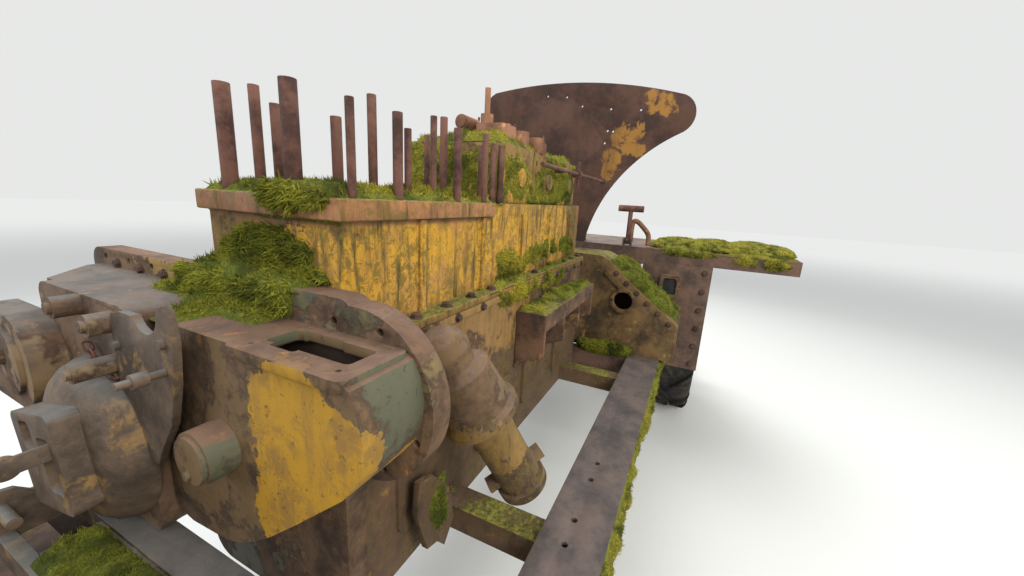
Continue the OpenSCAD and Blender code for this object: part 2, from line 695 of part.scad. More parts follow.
// Front housing: slope-shouldered hollow casing across the rails with a hand hole and coupling neck
housing_x = 760;
housing_len = 340;
housing_top = 1660;
housing_wall = 14;
hand_y = -585;
hand_z = 1368;
hand_r = 62;
shoulder = [[400, housing_top], [466, 1630], [610, 1506], [790, 1369], [925, 1266], [950, 1232]];
shoulder_in = [[395, housing_top - 14], [459, 1617], [601, 1495], [781, 1358], [914, 1257], [936, 1228]];

// Both halves of an outline given for the left side, standing on a level line
module mirrored_outline(half, low) {
    n = len(half);
    polygon(concat([[half[n - 1][0], low]], [for (i = [1 : n]) half[n - i]],
        [for (p = half) [-p[0], p[1]]], [[-half[n - 1][0], low]]));
}

module front_housing() color(rust) difference() {
    slab_x(housing_x + housing_wall, housing_len - housing_wall) mirrored_outline(shoulder, rail_top);
    slab_x(housing_x, housing_len - housing_wall) mirrored_outline(shoulder_in, rail_top + housing_wall);
}

// Housing wall: the housing's near face with its hand hole, sloped straps and the coupling neck
module housing_wall() color(rust) difference() {
    union() {
        slab_x(housing_x, housing_wall) mirrored_outline(shoulder, rail_top);
        bar_x(engine_front, housing_x + 1, 0, 1330, 150);
        bar_x(housing_x - 16, housing_x + 1, hand_y, hand_z, hand_r + 22);
        both_sides() slab_x(housing_x - 12, 13) polygon([[455, 1570], [600, 1450], [690, 1380],
            [660, 1355], [590, 1415], [440, 1540]]);
    }
    bar_x(housing_x - 20, housing_x + 30, hand_y, hand_z, hand_r);
}

// Bulkhead: plate with two openings, and a channel post on each side
post_in = 810;
post_out = 1120;
post_depth = 150;
post_low = 770;
post_wall = 20;

module bulkhead() color(rust) difference() {
    union() {
        block([bulk_x, -820, rail_top], [bulk_x + bulk_t, 820, beam_z]);
        both_sides() {
            difference() {
                block([bulk_x, rail_y - 125, post_low], [bulk_x + bulk_t, post_out, beam_z]);
                block([bulk_x - 1, 0, 0], [bulk_x + bulk_t + 1, nose_y + nose_w / 2 + 1, rail_top]);
            }
            for (y = [post_in, post_out - post_wall])
                block([bulk_x, y, post_low], [bulk_x + post_depth, y + post_wall, beam_z]);
        }
    }
    block([bulk_x - 1, -746, 1238], [bulk_x + bulk_t + 1, -626, 1413]);
    block([bulk_x - 1, -625, 1440], [bulk_x + bulk_t + 1, -475, 1560]);
}

// Deck: cantilevered plate with rounded corners, rear channel beam and ribs beneath
deck_ribs = 5;

module deck() color(rust) difference() {
    union() {
        translate([bulk_x, 0, deck_top - deck_t]) linear_extrude(deck_t)
            round_rect([0, -deck_half], [deck_front - bulk_x, deck_half], 90);
        block([bulk_x, -deck_half, beam_z], [bulk_x + 60, deck_half, deck_top]);
        for (i = [0 : deck_ribs - 1])
            translate([0, -deck_half + 150 + i * (deck_half - 150) * 2 / (deck_ribs - 1) - 6, 0])
                slab_y(0, 12) polygon([[bulk_x + 50, beam_z], [bulk_x + 200, beam_z],
                    [deck_front - 60, deck_top - 50], [deck_front - 60, deck_top - 10],
                    [bulk_x + 50, deck_top - 10]]);
    }
    block([bulk_x + 12, -deck_half - 1, beam_z + 12], [bulk_x + 49, deck_half + 1, deck_top - deck_t - 4]);
}

// Moss mats: cushions grown over the right end of the deck, and a few on the left
// Cushions: [from the rear edge, in from the side edge, radius, height]
moss_base = 20;
moss_wide = 960;
moss_right = [[180, 880, 120, 48], [400, 840, 150, 56], [650, 800, 160, 50], [200, 640, 150, 62],
    [450, 570, 170, 66], [700, 520, 140, 54], [180, 370, 130, 66], [390, 280, 170, 72],
    [650, 250, 170, 60], [200, 130, 110, 68], [480, 120, 100, 58]];
moss_left = [[180, 1090, 120, 40], [320, 1010, 110, 34], [240, 270, 150, 44], [450, 190, 140, 38]];

module moss_cushions(side, rows) for (c = rows)
    translate([bulk_x + c[0], side * (deck_half - c[1]), deck_top]) rotate_extrude()
        polygon([[0, 0], [c[2], 0], [c[2] * 0.95, c[3] * 0.4], [c[2] * 0.8, c[3] * 0.7],
            [c[2] * 0.5, c[3] * 0.92], [0, c[3]]]);

module moss_mats() color("#6d7425") {
    moss_cushions(-1, moss_right);
    moss_cushions(1, moss_left);
    translate([bulk_x + 70, -deck_half + 20, deck_top]) linear_extrude(moss_base)
        round_rect([0, 0], [deck_front - bulk_x - 100, moss_wide], 90);
}

// Shield plate: lopsided flared guard whose crown, tips and concave lower edges run into each other
flare_y = 1262;
flare_low = [1503, 1563];
crown_y = 200;
crown_r = 3600;
tip_y = 710;
tip_r = 138;
shield_holes = [[277, 2830], [115, 2815], [-17, 2742], [-245, 2713], [-468, 2698], [-236, 2556],
    [-278, 2551], [-222, 2466]];

// Height of a tip's centre, where its circle touches the crown from inside
function tip_z(y) = shield_top - crown_r + sqrt(pow(crown_r - tip_r, 2) - pow(y - crown_y, 2));
// Radius of a lower edge, which touches the tip from outside
function flare_r(side) = norm([flare_y - tip_y, tip_z(side * tip_y) - flare_low[side > 0 ? 1 : 0]]) - tip_r;

module shield_plate() color(dark_rust) {
    slab_x(bulk_x, shield_t) difference() {
        union() {
            difference() {
                intersection() {
                    translate([crown_y, shield_top - crown_r]) circle(crown_r, $fn = 180);
                    translate([-tip_y - 50, deck_top]) square([2 * tip_y + 100, 2000]);
                }
                for (side = [-1, 1]) translate([side * flare_y, flare_low[side > 0 ? 1 : 0]])
                    circle(flare_r(side), $fn = 96);
            }
            for (side = [-1, 1]) translate([side * tip_y, tip_z(side * tip_y)]) circle(tip_r);
        }
        for (h = shield_holes) translate(h) circle(8);
    }
    for (y = [-92, 78]) slab_y(y, 14)
        polygon([[bulk_x + shield_t - 1, deck_top], [bulk_x + 230, deck_top], [bulk_x + shield_t - 1, 2250]]);
}

// Clutch lever: T-handled post that swings in a bracket on the deck beam
lever_x = bulk_x + 30;
lever_y = -480;
lever_pivot = deck_top + 40;

module clutch_lever() color(rust) difference() {
    union() {
        translate([lever_x, lever_y, lever_pivot]) cylinder(r = 17, h = 250);
        bar_y(lever_y - 95, lever_y + 95, lever_x, lever_pivot + 250, 25);
        bar_y(lever_y - 15, lever_y + 15, lever_x, lever_pivot, 28);
    }
    bar_y(lever_y - 20, lever_y + 20, lever_x, lever_pivot, 10 + run_gap);
}

module lever_bracket() color(rust) translate([lever_x, lever_y, 0]) {
    for (y = [-34, 20]) slab_y(y, 14) {
        translate([0, lever_pivot]) circle(24);
        translate([-24, deck_top]) square([48, lever_pivot - deck_top]);
    }
    bar_y(-34, 34, 0, lever_pivot, 10);
}

// Seat: pressed steel pan and curved back on a pedestal
seat_x = 1720;
seat_y = deck_half - 670;
seat_z = 2120;

module seat() color(paint) translate([seat_x, seat_y, 0]) {
    translate([0, 0, deck_top]) cylinder(r = 110, h = 14);
    translate([0, 0, deck_top]) cylinder(r = 45, h = seat_z - deck_top);
    translate([0, 0, seat_z]) {
        difference() {
            cylinder(r = 230, h = 60);
            translate([0, 0, 12]) cylinder(r = 218, h = 60);
            block([60, -300, 30], [300, 300, 100]);
        }
        difference() {
            cylinder(r = 230, h = 290);
            translate([0, 0, -1]) cylinder(r = 218, h = 300);
            block([-110, -300, -1], [300, 300, 300]);
        }
    }
}

// Steering column and wheel, leaning back towards the seat
column_foot = [2090, seat_y, deck_top];
column_head = [2010, seat_y, deck_top + 580];

module steering_column() color(rust) {
    bar(column_foot + 0.02 * (column_head - column_foot), column_head, 32);
    translate(column_foot) cylinder(r = 80, h = 16);
}

module steering_wheel() color(black_rubber) {
    d = column_head - column_foot;
    translate(column_head) rotate([0, acos(d[2] / norm(d)), atan2(d[1], d[0])]) {
        translate([0, 0, run_gap]) cylinder(r = 36, h = 34);
        translate([0, 0, 20]) rotate_extrude() translate([190, 0]) circle(14, $fn = 20);
        for (a = [0, 120, 240]) rotate([0, 0, a]) translate([20, -10, 14]) cube([172, 20, 10]);
    }
}

// Fuel tank: strapped drum under the left end of the deck
tank_r = 175;
tank_y = deck_half - 280;
tank_z = 1430;
tank_x0 = 1420;
tank_x1 = 2080;

module fuel_tank() color(paint) {
    bar_x(tank_x0, tank_x1, tank_y, tank_z, tank_r);
    for (x = [tank_x0, tank_x1 - 10]) bar_x(x - 8, x + 18, tank_y, tank_z, tank_r - 20);
    for (x = [tank_x0 + 110, tank_x1 - 150]) {
        bar_x(x, x + 40, tank_y, tank_z, tank_r + 6);
        block([x, tank_y - 60, tank_z], [x + 40, tank_y + 60, deck_top - deck_t]);
    }
}

// Winch: side frames with tie bars, and the drum that turns in them
drum_x = rear_axle_x;
drum_shaft_r = 40;

module winch_frame() color(paint) difference() {
    union() {
        both_sides() slab_y(winch_half, winch_t) {
            polygon([[drum_x - 310, cross_top], [drum_x + 310, cross_top], [drum_x + 250, drum_z],
                [drum_x + 120, drum_z + 250], [drum_x - 120, drum_z + 250], [drum_x - 250, drum_z]]);
        }
        for (x = [-250, 250])
            bar_y(-winch_half - winch_t + 1, winch_half + winch_t - 1, drum_x + x, cross_top + 60, 28);
        both_sides() bar_y(winch_half + winch_t - 1, winch_half + winch_t + 40, drum_x, drum_z, 90);
    }
    bar_y(-winch_half - 100, winch_half + 100, drum_x, drum_z, drum_shaft_r + run_gap);
}

module winch_drum() color(iron) {
    end = winch_half - side_gap - 5;
    translate([drum_x, 0, drum_z]) rotate([90, 0, 0]) rotate_extrude()
        polygon([[0, -winch_half - 60], [drum_shaft_r, -winch_half - 60], [drum_shaft_r, -end],
            [drum_flange_r, -end], [drum_flange_r, 20 - end], [drum_r + 10, 34 - end], [drum_r, 60 - end],
            [drum_r, end - 60], [drum_r + 10, end - 34], [drum_flange_r, end - 20], [drum_flange_r, end],
            [drum_shaft_r, end], [drum_shaft_r, winch_half + 60], [0, winch_half + 60]]);
}

// Arch: leaning A-frame with braces and the fairlead box that holds the rollers
arch_x = -2900;
leg_w = 110;
leg_d = 100;
arch_long = arch_h / cos(arch_lean);
arch_top_y = 330;
fair_low = 2420;
fair_high = 2700;
fair_half = 185;
fair_t = 20;
fair_front = -3160;
upright_x = fair_rear + 62;
upright_y = 100;
low_x = upright_x + 115;
low_z = fair_low + 110;
roller_pin = 15;

module arch() color(paint) difference() {
    union() {
        difference() {
            translate([arch_x, 0, rail_top]) rotate([0, -arch_lean, 0]) slab_x(-leg_d / 2, leg_d) {
                both = [-1, 1];
                for (s = both) polygon([[s * (rail_y - leg_w / 2), -60], [s * (rail_y + leg_w / 2), -60],
                    [s * (arch_top_y + leg_w / 2), arch_long], [s * (arch_top_y - leg_w / 2), arch_long]]);
                translate([-arch_top_y, arch_long - 110]) square([2 * arch_top_y, 110]);
            }
            block([-4000, -2000, 0], [0, 2000, rail_top]);
        }
        both_sides() {
            block([arch_x - 110, rail_y - 95, rail_top], [arch_x + 110, rail_y + 95, rail_top + 20]);
            bar([arch_x - 230, 495, rail_top + 1180], [-2230, rail_y - 20, rail_top + 24], 34);
            block([-2320, rail_y - 95, rail_top], [-2140, rail_y + 75, rail_top + 16]);
            block([fair_rear, fair_half, fair_low], [fair_front, fair_half + fair_t, fair_high]);
            block([fair_front - 40, fair_half, fair_low + 60], [fair_front - 10, arch_top_y + 20, fair_low + 220]);
        }
        for (z = [fair_low, fair_high - fair_t])
            block([fair_rear, -fair_half - 1, z], [fair_rear + 124, fair_half + 1, z + fair_t]);
        block([fair_rear, -fair_half - 1, fair_high - fair_t], [fair_front, fair_half + 1, fair_high]);
    }
    for (y = [-upright_y, upright_y]) translate([upright_x, y, fair_low - 10])
        cylinder(r = roller_pin + run_gap, h = fair_high - fair_low + 20);
    bar_y(-fair_half - 50, fair_half + 50, low_x, low_z, roller_pin + run_gap);
}

module upright_roller(y) color(iron) translate([upright_x, y, 0]) {
    translate([0, 0, fair_low + fair_t + 2]) cylinder(r = roller_r, h = fair_high - fair_low - 2 * fair_t - 4);
    translate([0, 0, fair_low]) cylinder(r = roller_pin, h = fair_high - fair_low);
}

module roller_low() color(iron) {
    bar_y(2 - fair_half, fair_half - 2, low_x, low_z, roller_r);
    bar_y(-fair_half - fair_t, fair_half + fair_t, low_x, low_z, roller_pin);
}

// Hitch: back plate with gussets and a clevis with an upright pin hole
hitch_z = 720;
hitch_hole_r = 25;
hitch_x = rail_rear - 120;

module hitch() color(rust) difference() {
    union() {
        block([rail_rear - 24, -170, hitch_z - 110], [rail_rear, 170, cross_top]);
        for (z = [hitch_z - 55, hitch_z + 30]) translate([0, 0, z]) linear_extrude(25) {
            translate([hitch_x, 0]) circle(60);
            polygon([[hitch_x, -60], [rail_rear - 20, -110], [rail_rear - 20, 110], [hitch_x, 60]]);
        }
    }
    translate([hitch_x, 0, hitch_z - 100]) cylinder(r = hitch_hole_r, h = 200);
}

// Radiator: tanks, side columns, ribbed core and the bar guard in front of it
radiator_x = 2600;
radiator_half = nose_y + nose_w / 2;
radiator_top = 1500;
guard_bars = 9;

module radiator() color(rust) translate([radiator_x, 0, rail_top]) {
    h = radiator_top - rail_top;
    block([0, -radiator_half, 0], [130, radiator_half, 60]);
    block([0, -radiator_half, h - 80], [130, radiator_half, h]);
    both_sides() block([0, radiator_half - 50, 50], [130, radiator_half, h - 70]);
    block([25, -radiator_half + 40, 50], [85, radiator_half - 40, h - 70]);
    for (i = [0 : guard_bars - 1])
        translate([110, -radiator_half + 60 + i * (radiator_half - 60) * 2 / (guard_bars - 1), 40])
            cylinder(r = 9, h = h - 100);
    translate([65, 0, h - 1]) cylinder(r = 45, h = 26);
}

// Blade: curved mouldboard with cutting edge, ribs, push arms and lift lugs
mould_r = 560;
mould_t = 25;
mould_z = blade_low + blade_h / 2;
blade_front = pivot_x + blade_reach;
mould_x = blade_front - 21 + sqrt(mould_r * mould_r - blade_h * blade_h / 4);
rib_x = blade_front - 250;
eye_x = 3100;
eye_z = 560;
eye_bore = 27;

module blade() color(paint) {
    slab_y(-blade_w / 2, blade_w) {
        intersection() {
            difference() {
                translate([mould_x, mould_z]) circle(mould_r + mould_t, $fn = 96);
                translate([mould_x, mould_z]) circle(mould_r, $fn = 96);
            }
            translate([blade_front - 400, blade_low]) square([400, blade_h]);
        }
        polygon([[blade_front - 60, blade_low], [blade_front, blade_low], [blade_front, blade_low + 20],
            [blade_front - 75, blade_low + 150], [blade_front - 84, blade_low + 150]]);
    }
    for (part = [[-blade_w / 2 + 40, -110, 500], [110, blade_w / 2 - 40, 500],
        [-blade_w / 2 + 40, blade_w / 2 - 40, 210]])
        translate([0, part[0], 0]) slab_y(0, part[1] - part[0]) difference() {
            translate([rib_x, blade_low + part[2]]) square([150, 100]);
            translate([mould_x, mould_z]) circle(mould_r + mould_t - 5);
        }
    both_sides() {
        difference() {
            slab_y(nose_y - arm_t / 2, arm_t) difference() {
                union() {
                    translate([pivot_x, pivot_z]) circle(44);
                    polygon([[pivot_x - 20, pivot_z - 40], [pivot_x + 20, pivot_z + 42],
                        [rib_x + 90, mould_z + 90], [rib_x + 90, mould_z - 90]]);
                }
                translate([mould_x, mould_z]) circle(mould_r + mould_t - 5);
            }
            bar_y(nose_y - arm_t, nose_y + arm_t, pivot_x, pivot_z, pivot_pin_r + run_gap);
        }
        slab_y(lift_eye / 2 + side_gap, lug_t) difference() {
            union() {
                translate([eye_x, eye_z]) circle(lug_r);
                polygon([[eye_x, eye_z - lug_r], [eye_x, eye_z + lug_r], [rib_x + 90, eye_z + 90],
                    [rib_x + 90, eye_z - 90]]);
            }
            translate([mould_x, mould_z]) circle(mould_r + mould_t - 5);
        }
    }
    bar_y(-lift_eye / 2 - side_gap - 1, lift_eye / 2 + side_gap + 1, eye_x, eye_z, lift_pin_r - 1);
}

// Lift cylinder: barrel on the tower pin, rod to the blade lugs, both drawn along their axis
lift_dir = [eye_x - lift_x, 0, eye_z - lift_z];
lift_len = norm(lift_dir);
barrel_start = 60;
barrel_end = 380;
rod_len = 390;

module along_lift() translate([lift_x, 0, lift_z])
    rotate([0, acos(lift_dir[2] / lift_len), 0]) children();

module lift_barrel() color(paint) along_lift() difference() {
    union() {
        bar_y(-lift_eye / 2, lift_eye / 2, 0, 0, 34);
        block([-24, -lift_eye / 2, 0], [24, lift_eye / 2, barrel_start + 4]);
        translate([0, 0, barrel_start]) cylinder(r = barrel_r, h = barrel_end - barrel_start);
    }
    bar_y(-lift_eye, lift_eye, 0, 0, lift_pin_r + run_gap);
    translate([0, 0, barrel_start + 8]) cylinder(r = rod_r + run_gap, h = barrel_end);
}

module lift_rod() color("silver") along_lift() difference() {
    union() {
        translate([0, 0, lift_len - rod_len]) cylinder(r = rod_r, h = rod_len - 30);
        bar_y(-lift_eye / 2, lift_eye / 2, 0, lift_len, lug_r);
    }
    bar_y(-lift_eye, lift_eye, 0, lift_len, eye_bore);
}

rail();  // rail_left
mirror([0, 1, 0]) rail();  // rail_right
cross_members();
nose_frame();
rear_axle();
drive_shaft();
front_axle();
knuckle_left();
knuckle_right();
tie_rod();
wheel_place(rear_axle_x, rear_wheel_y) tyre();  // tyre_rear_left
wheel_place(rear_axle_x, -rear_wheel_y) tyre();  // tyre_rear_right
wheel_place(front_axle_x, front_wheel_y) tyre();  // tyre_front_left
wheel_place(front_axle_x, -front_wheel_y) tyre();  // tyre_front_right
wheel_place(rear_axle_x, rear_wheel_y) rim(hub_back);  // rim_rear_left
wheel_place(rear_axle_x, -rear_wheel_y) rim(hub_back);  // rim_rear_right
wheel_place(front_axle_x, front_wheel_y) rim(hub_front_back);  // rim_front_left
wheel_place(front_axle_x, -front_wheel_y) rim(hub_front_back);  // rim_front_right
crankcase();
cylinder_block();
pistons();
head_studs();
cylinder_heads();
rocker_gear();
control_shaft();
side_shelf();
flange_plate();
gearbox();
chain_case();
bracket_plate();
case_nose();
case_cradle();
coolant_pump();
front_housing();
housing_wall();
bulkhead();
union() { deck(); lever_bracket(); }
moss_mats();
shield_plate();
clutch_lever();
seat();
steering_column();
steering_wheel();
fuel_tank();
winch_frame();
winch_drum();
arch();
upright_roller(upright_y);  // roller_left
upright_roller(-upright_y);  // roller_right
roller_low();
hitch();
radiator();
blade();
lift_barrel();
lift_rod();
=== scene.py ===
"""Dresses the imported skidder: finishes, bolts, moss, tyres and the small fittings of a derelict machine."""
import json
import math
from functools import reduce

import bmesh
import bpy
import mathutils
import numpy as np
from bpy.props import FloatProperty, FloatVectorProperty, IntProperty, PointerProperty
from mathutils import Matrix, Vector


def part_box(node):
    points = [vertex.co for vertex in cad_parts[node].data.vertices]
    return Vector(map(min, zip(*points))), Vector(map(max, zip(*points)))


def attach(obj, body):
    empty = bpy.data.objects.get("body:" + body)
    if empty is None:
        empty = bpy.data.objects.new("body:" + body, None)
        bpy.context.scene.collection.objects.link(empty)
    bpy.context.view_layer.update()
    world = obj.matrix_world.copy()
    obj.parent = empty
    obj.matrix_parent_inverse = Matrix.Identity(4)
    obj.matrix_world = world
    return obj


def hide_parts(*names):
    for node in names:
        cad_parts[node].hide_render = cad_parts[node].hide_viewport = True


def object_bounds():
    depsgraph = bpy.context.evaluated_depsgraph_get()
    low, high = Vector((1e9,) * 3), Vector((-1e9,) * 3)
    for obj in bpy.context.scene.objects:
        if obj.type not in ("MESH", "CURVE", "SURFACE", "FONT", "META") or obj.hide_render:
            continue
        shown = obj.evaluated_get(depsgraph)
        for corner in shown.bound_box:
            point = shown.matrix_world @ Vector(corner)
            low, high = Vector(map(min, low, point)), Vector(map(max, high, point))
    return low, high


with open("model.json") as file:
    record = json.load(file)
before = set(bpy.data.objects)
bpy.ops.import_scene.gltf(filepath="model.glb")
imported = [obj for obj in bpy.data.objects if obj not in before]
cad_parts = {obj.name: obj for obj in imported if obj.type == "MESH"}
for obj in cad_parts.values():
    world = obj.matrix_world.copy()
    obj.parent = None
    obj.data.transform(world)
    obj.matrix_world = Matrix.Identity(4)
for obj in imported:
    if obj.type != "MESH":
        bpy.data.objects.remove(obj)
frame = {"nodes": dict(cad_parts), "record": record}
CAD_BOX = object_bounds()

bl_info = {
    "name": "Derelict skidder dressing",
    "version": (1, 0, 0),
    "blender": (4, 5, 0),
    "location": "View3D > Sidebar > Skidder",
    "description": "Finishes, moss, bolts, tyres and fittings for a derelict logging machine",
    "category": "Object",
}

ROOT = "frame"
MM = 0.001
UP, BACK, RIGHT = (0, 0, 1), (-1, 0, 0), (0, -1, 0)
SLOTS = {row["node"]: row["material_slot"] for row in frame["record"]["subparts"]}
GROUPS = {}
FINISH = {}


def size_of(node):
    """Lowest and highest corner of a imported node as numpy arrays."""
    low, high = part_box(node)
    return np.array(low), np.array(high)


def body_of(node):
    """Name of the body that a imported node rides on."""
    return next(body for body, nodes in frame["record"]["behaviour"]["bodies"].items() if node in nodes)


def placed(name, data):
    """New object in the scene."""
    made = bpy.data.objects.new(name, data)
    bpy.context.scene.collection.objects.link(made)
    return made


# Meshes from arrays

def add_piece(name, points, faces, finish, slot=None, body=ROOT, smooth=False):
    """Makes one object from an array of points and a list of face arrays, and hangs it on a body."""
    mesh = bpy.data.meshes.new(name)
    corners = [row for block in faces for row in np.asarray(block).tolist()]
    mesh.from_pydata(np.asarray(points, float).reshape(-1, 3).tolist(), [], corners)
    mesh.validate()
    if smooth:
        mesh.polygons.foreach_set("use_smooth", np.ones(len(mesh.polygons), bool))
    mesh.materials.append(FINISH[finish])
    piece = placed(name, mesh)
    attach(piece, body)
    return piece


def fix_normals(piece):
    """Merges doubles, turns all faces outwards and smooths all but the sharp edges."""
    shape = bmesh.new()
    shape.from_mesh(piece.data)
    bmesh.ops.remove_doubles(shape, verts=shape.verts, dist=1e-6)
    bmesh.ops.recalc_face_normals(shape, faces=shape.faces)
    shape.to_mesh(piece.data)
    shape.free()
    piece.data.shade_smooth()
    piece.data.set_sharp_from_angle(angle=math.radians(32))


def whole_turn(count):
    """Evenly spaced angles of a whole turn."""
    return np.arange(count) * 2 * math.pi / count


def grid_faces(rows, columns, wrap=False, loop=False):
    """Quads between neighbouring points of a rows x columns grid; wrap joins the last column to the
    first, and loop the last row to the first."""
    down, across = rows if loop else rows - 1, columns if wrap else columns - 1
    r, c = (axis.ravel() for axis in np.meshgrid(np.arange(down), np.arange(across), indexing="ij"))
    here, ahead, beside = r * columns, (r + 1) % rows * columns, (c + 1) % columns
    return np.stack([here + c, here + beside, ahead + beside, ahead + c], 1)


def closed_rings(rings, steps):
    """Faces of a run of rings, closed by one fan at each end round the two points after the rings."""
    count, last = rings * steps, (rings - 1) * steps
    a = np.arange(steps)
    b = (a + 1) % steps
    return [grid_faces(rings, steps, True), np.stack([np.full(steps, count), b, a], 1),
            np.stack([np.full(steps, count + 1), last + a, last + b], 1)]


def closed_sheet(top, below):
    """Closes two grids of points into one shape: both sheets and the wall round them, turned outwards."""
    rows, columns = top.shape[:2]
    count = rows * columns
    faces = grid_faces(rows, columns)
    ring = np.concatenate([np.arange(columns), np.arange(1, rows) * columns + columns - 1,
                           (rows - 1) * columns + np.arange(columns - 2, -1, -1),
                           np.arange(rows - 2, 0, -1) * columns])
    ahead = np.roll(ring, -1)
    wall = np.stack([ring + count, ahead + count, ahead, ring], 1)
    points = np.concatenate([top.reshape(-1, 3), below.reshape(-1, 3)])
    a, b, c = (points[faces[:, k]] for k in range(3))
    outwards = np.cross(b - a, c - a).sum(0) @ (top - below).reshape(-1, 3).mean(0)
    blocks = [faces, faces[:, ::-1] + count, wall]
    return points, blocks if outwards > 0 else [block[:, ::-1] for block in blocks]


def revolve(profile, steps):
    """Turns an outline of (radius, height) pairs about Z: point = (r cos a, r sin a, h) for every a.

    The outline starts and ends on the axis, so the shape is closed by one fan at each end."""
    outline = np.asarray(profile, float)[1:-1]
    angle = whole_turn(steps)
    points = np.stack([outline[:, :1] * np.cos(angle), outline[:, :1] * np.sin(angle),
                       np.repeat(outline[:, 1:], steps, 1)], 2).reshape(-1, 3)
    ends = [[0, 0, profile[0][1]], [0, 0, profile[-1][1]]]
    return np.concatenate([points, ends]), closed_rings(len(outline), steps)


def frame_along(direction, turn=0.0):
    """Rotation matrices whose third column is each direction, turned about it by an angle."""
    z = np.asarray(direction, float).reshape(-1, 3)
    z = z / np.linalg.norm(z, axis=1)[:, None]
    helper = np.where(np.abs(z[:, 2:]) < 0.9, [[0.0, 0.0, 1.0]], [[1.0, 0.0, 0.0]])
    x = np.cross(helper, z)
    x /= np.linalg.norm(x, axis=1)[:, None]
    y = np.cross(z, x)
    turn = np.broadcast_to(turn, (len(z),))
    c, s = np.cos(turn)[:, None], np.sin(turn)[:, None]
    return np.stack([x * c + y * s, y * c - x * s, z], 2)


def stamp(shape, places, matrices, scales=1.0):
    """Copies a small shape to many places: point = place + matrix @ (scale * point)."""
    points, faces = shape
    places = np.asarray(places, float).reshape(-1, 3)
    scales = np.broadcast_to(np.asarray(scales, float), (len(places),))
    spread = np.einsum("nij,pj,n->npi", np.broadcast_to(matrices, (len(places), 3, 3)), points, scales)
    spread += places[:, None]
    shift = (np.arange(len(places)) * len(points))[:, None, None]
    return spread.reshape(-1, 3), [(block[None] + shift).reshape(-1, block.shape[1]) for block in faces]


def join(parts):
    """Joins several (points, faces) shapes into one."""
    points, faces, shift = [], [], 0
    for p, blocks in parts:
        points.append(p)
        faces += [np.asarray(block) + shift for block in blocks]
        shift += len(p)
    return np.concatenate(points), faces


def tube(path, radius, sides=10):
    """Round tube along a path: a ring of points across each stretch, closed by a fan at each end."""
    path = np.asarray(path, float)
    rings = frame_along(np.gradient(path, axis=0))
    for i in range(1, len(path)):
        flat = rings[i - 1][:, 0] - rings[i][:, 2] * (rings[i - 1][:, 0] @ rings[i][:, 2])
        rings[i][:, 0] = flat / np.linalg.norm(flat)
        rings[i][:, 1] = np.cross(rings[i][:, 2], rings[i][:, 0])
    angle = whole_turn(sides)
    radius = np.broadcast_to(radius, (len(path),))[:, None]
    local = np.stack([np.cos(angle) * radius, np.sin(angle) * radius, np.zeros((len(path), sides))], 2)
    points = np.einsum("nij,nsj->nsi", rings, local) + path[:, None]
    return np.concatenate([points.reshape(-1, 3), path[:1], path[-1:]]), closed_rings(len(path), sides)


def curve_through(points, count):
    """Smooth path through hand-set points: Catmull-Rom cubics sampled evenly."""
    p = np.asarray(points, float)
    p = np.concatenate([2 * p[:1] - p[1:2], p, 2 * p[-1:] - p[-2:-1]])
    t = np.linspace(0, len(p) - 3 - 1e-6, count)
    i = t.astype(int)
    f = (t - i)[:, None]
    a, b, c, d = p[i], p[i + 1], p[i + 2], p[i + 3]
    return 0.5 * (2 * b + (c - a) * f + (2 * a - 5 * b + 4 * c - d) * f ** 2
                  + (3 * b - a - 3 * c + d) * f ** 3)


def lattice_noise(x, y, seed):
    """Smooth noise from -1 to 1: random lattice values blended with a cubic fade."""
    side = 64
    table = np.random.default_rng(seed).uniform(-1, 1, (side, side))
    i, j = np.floor(x).astype(int), np.floor(y).astype(int)
    f, g = x - i, y - j
    f, g = f * f * (3 - 2 * f), g * g * (3 - 2 * g)
    near, far = (table[i % side, row % side] * (1 - f) + table[(i + 1) % side, row % side] * f
                 for row in (j, j + 1))
    return near * (1 - g) + far * g


def lumps(x, y, seed, layers=4):
    """Sum of noise layers, each twice as fine and half as strong as the last."""
    return sum(lattice_noise(x * 2 ** k, y * 2 ** k, seed + k) / 2 ** k for k in range(layers)) / 1.6


# Shader nodes

class Value:
    """What a node puts out. Each sum, product or step of it adds the node that works it out."""

    def __init__(self, socket):
        self.socket = socket

    @property
    def tree(self):
        """The node tree that the value is in."""
        return self.socket.id_data

    def __add__(self, other):
        return self.maths("ADD", self, other)

    def __sub__(self, other):
        return self.maths("SUBTRACT", self, other)

    def __rsub__(self, other):
        return self.maths("SUBTRACT", other, self)

    def __mul__(self, other):
        return self.maths("MULTIPLY", self, other)

    def larger(self, other):
        """The larger of two values."""
        return self.maths("MAXIMUM", self, other)

    def maths(self, operation, first, second):
        """One Math node's result."""
        return shader(self.tree, "ShaderNodeMath", {0: first, 1: second}, operation=operation)

    def clamped(self):
        """The same sum, difference or product, held between 0 and 1."""
        self.socket.node.use_clamp = True
        return self

    def step(self, low, high):
        """Smooth step from 0 at low to 1 at high."""
        return shader(self.tree, "ShaderNodeMapRange", {"Value": self, "From Min": low, "From Max": high},
                      interpolation_type="SMOOTHSTEP")


def fill(socket, value):
    """Links a value to an input socket, or sets the socket to a plain number, vector or colour."""
    if isinstance(value, Value):
        socket.id_data.links.new(value.socket, socket)
    else:
        socket.default_value = (*value, 1.0) if socket.type == "RGBA" else value


def shader(tree, kind, inputs=None, output=0, **settings):
    """Adds a node, sets its settings, fills its inputs, and gives one of its outputs."""
    made = tree.nodes.new(kind)
    for key, value in settings.items():
        setattr(made, key, value)
    for key, value in (inputs or {}).items():
        fill(made.inputs[key], value)
    return Value(made.outputs[output])


def vector_maths(operation, *inputs, output=0):
    """One Vector Math node's result."""
    return shader(inputs[0].tree, "ShaderNodeVectorMath", dict(enumerate(inputs)), output,
                  operation=operation)


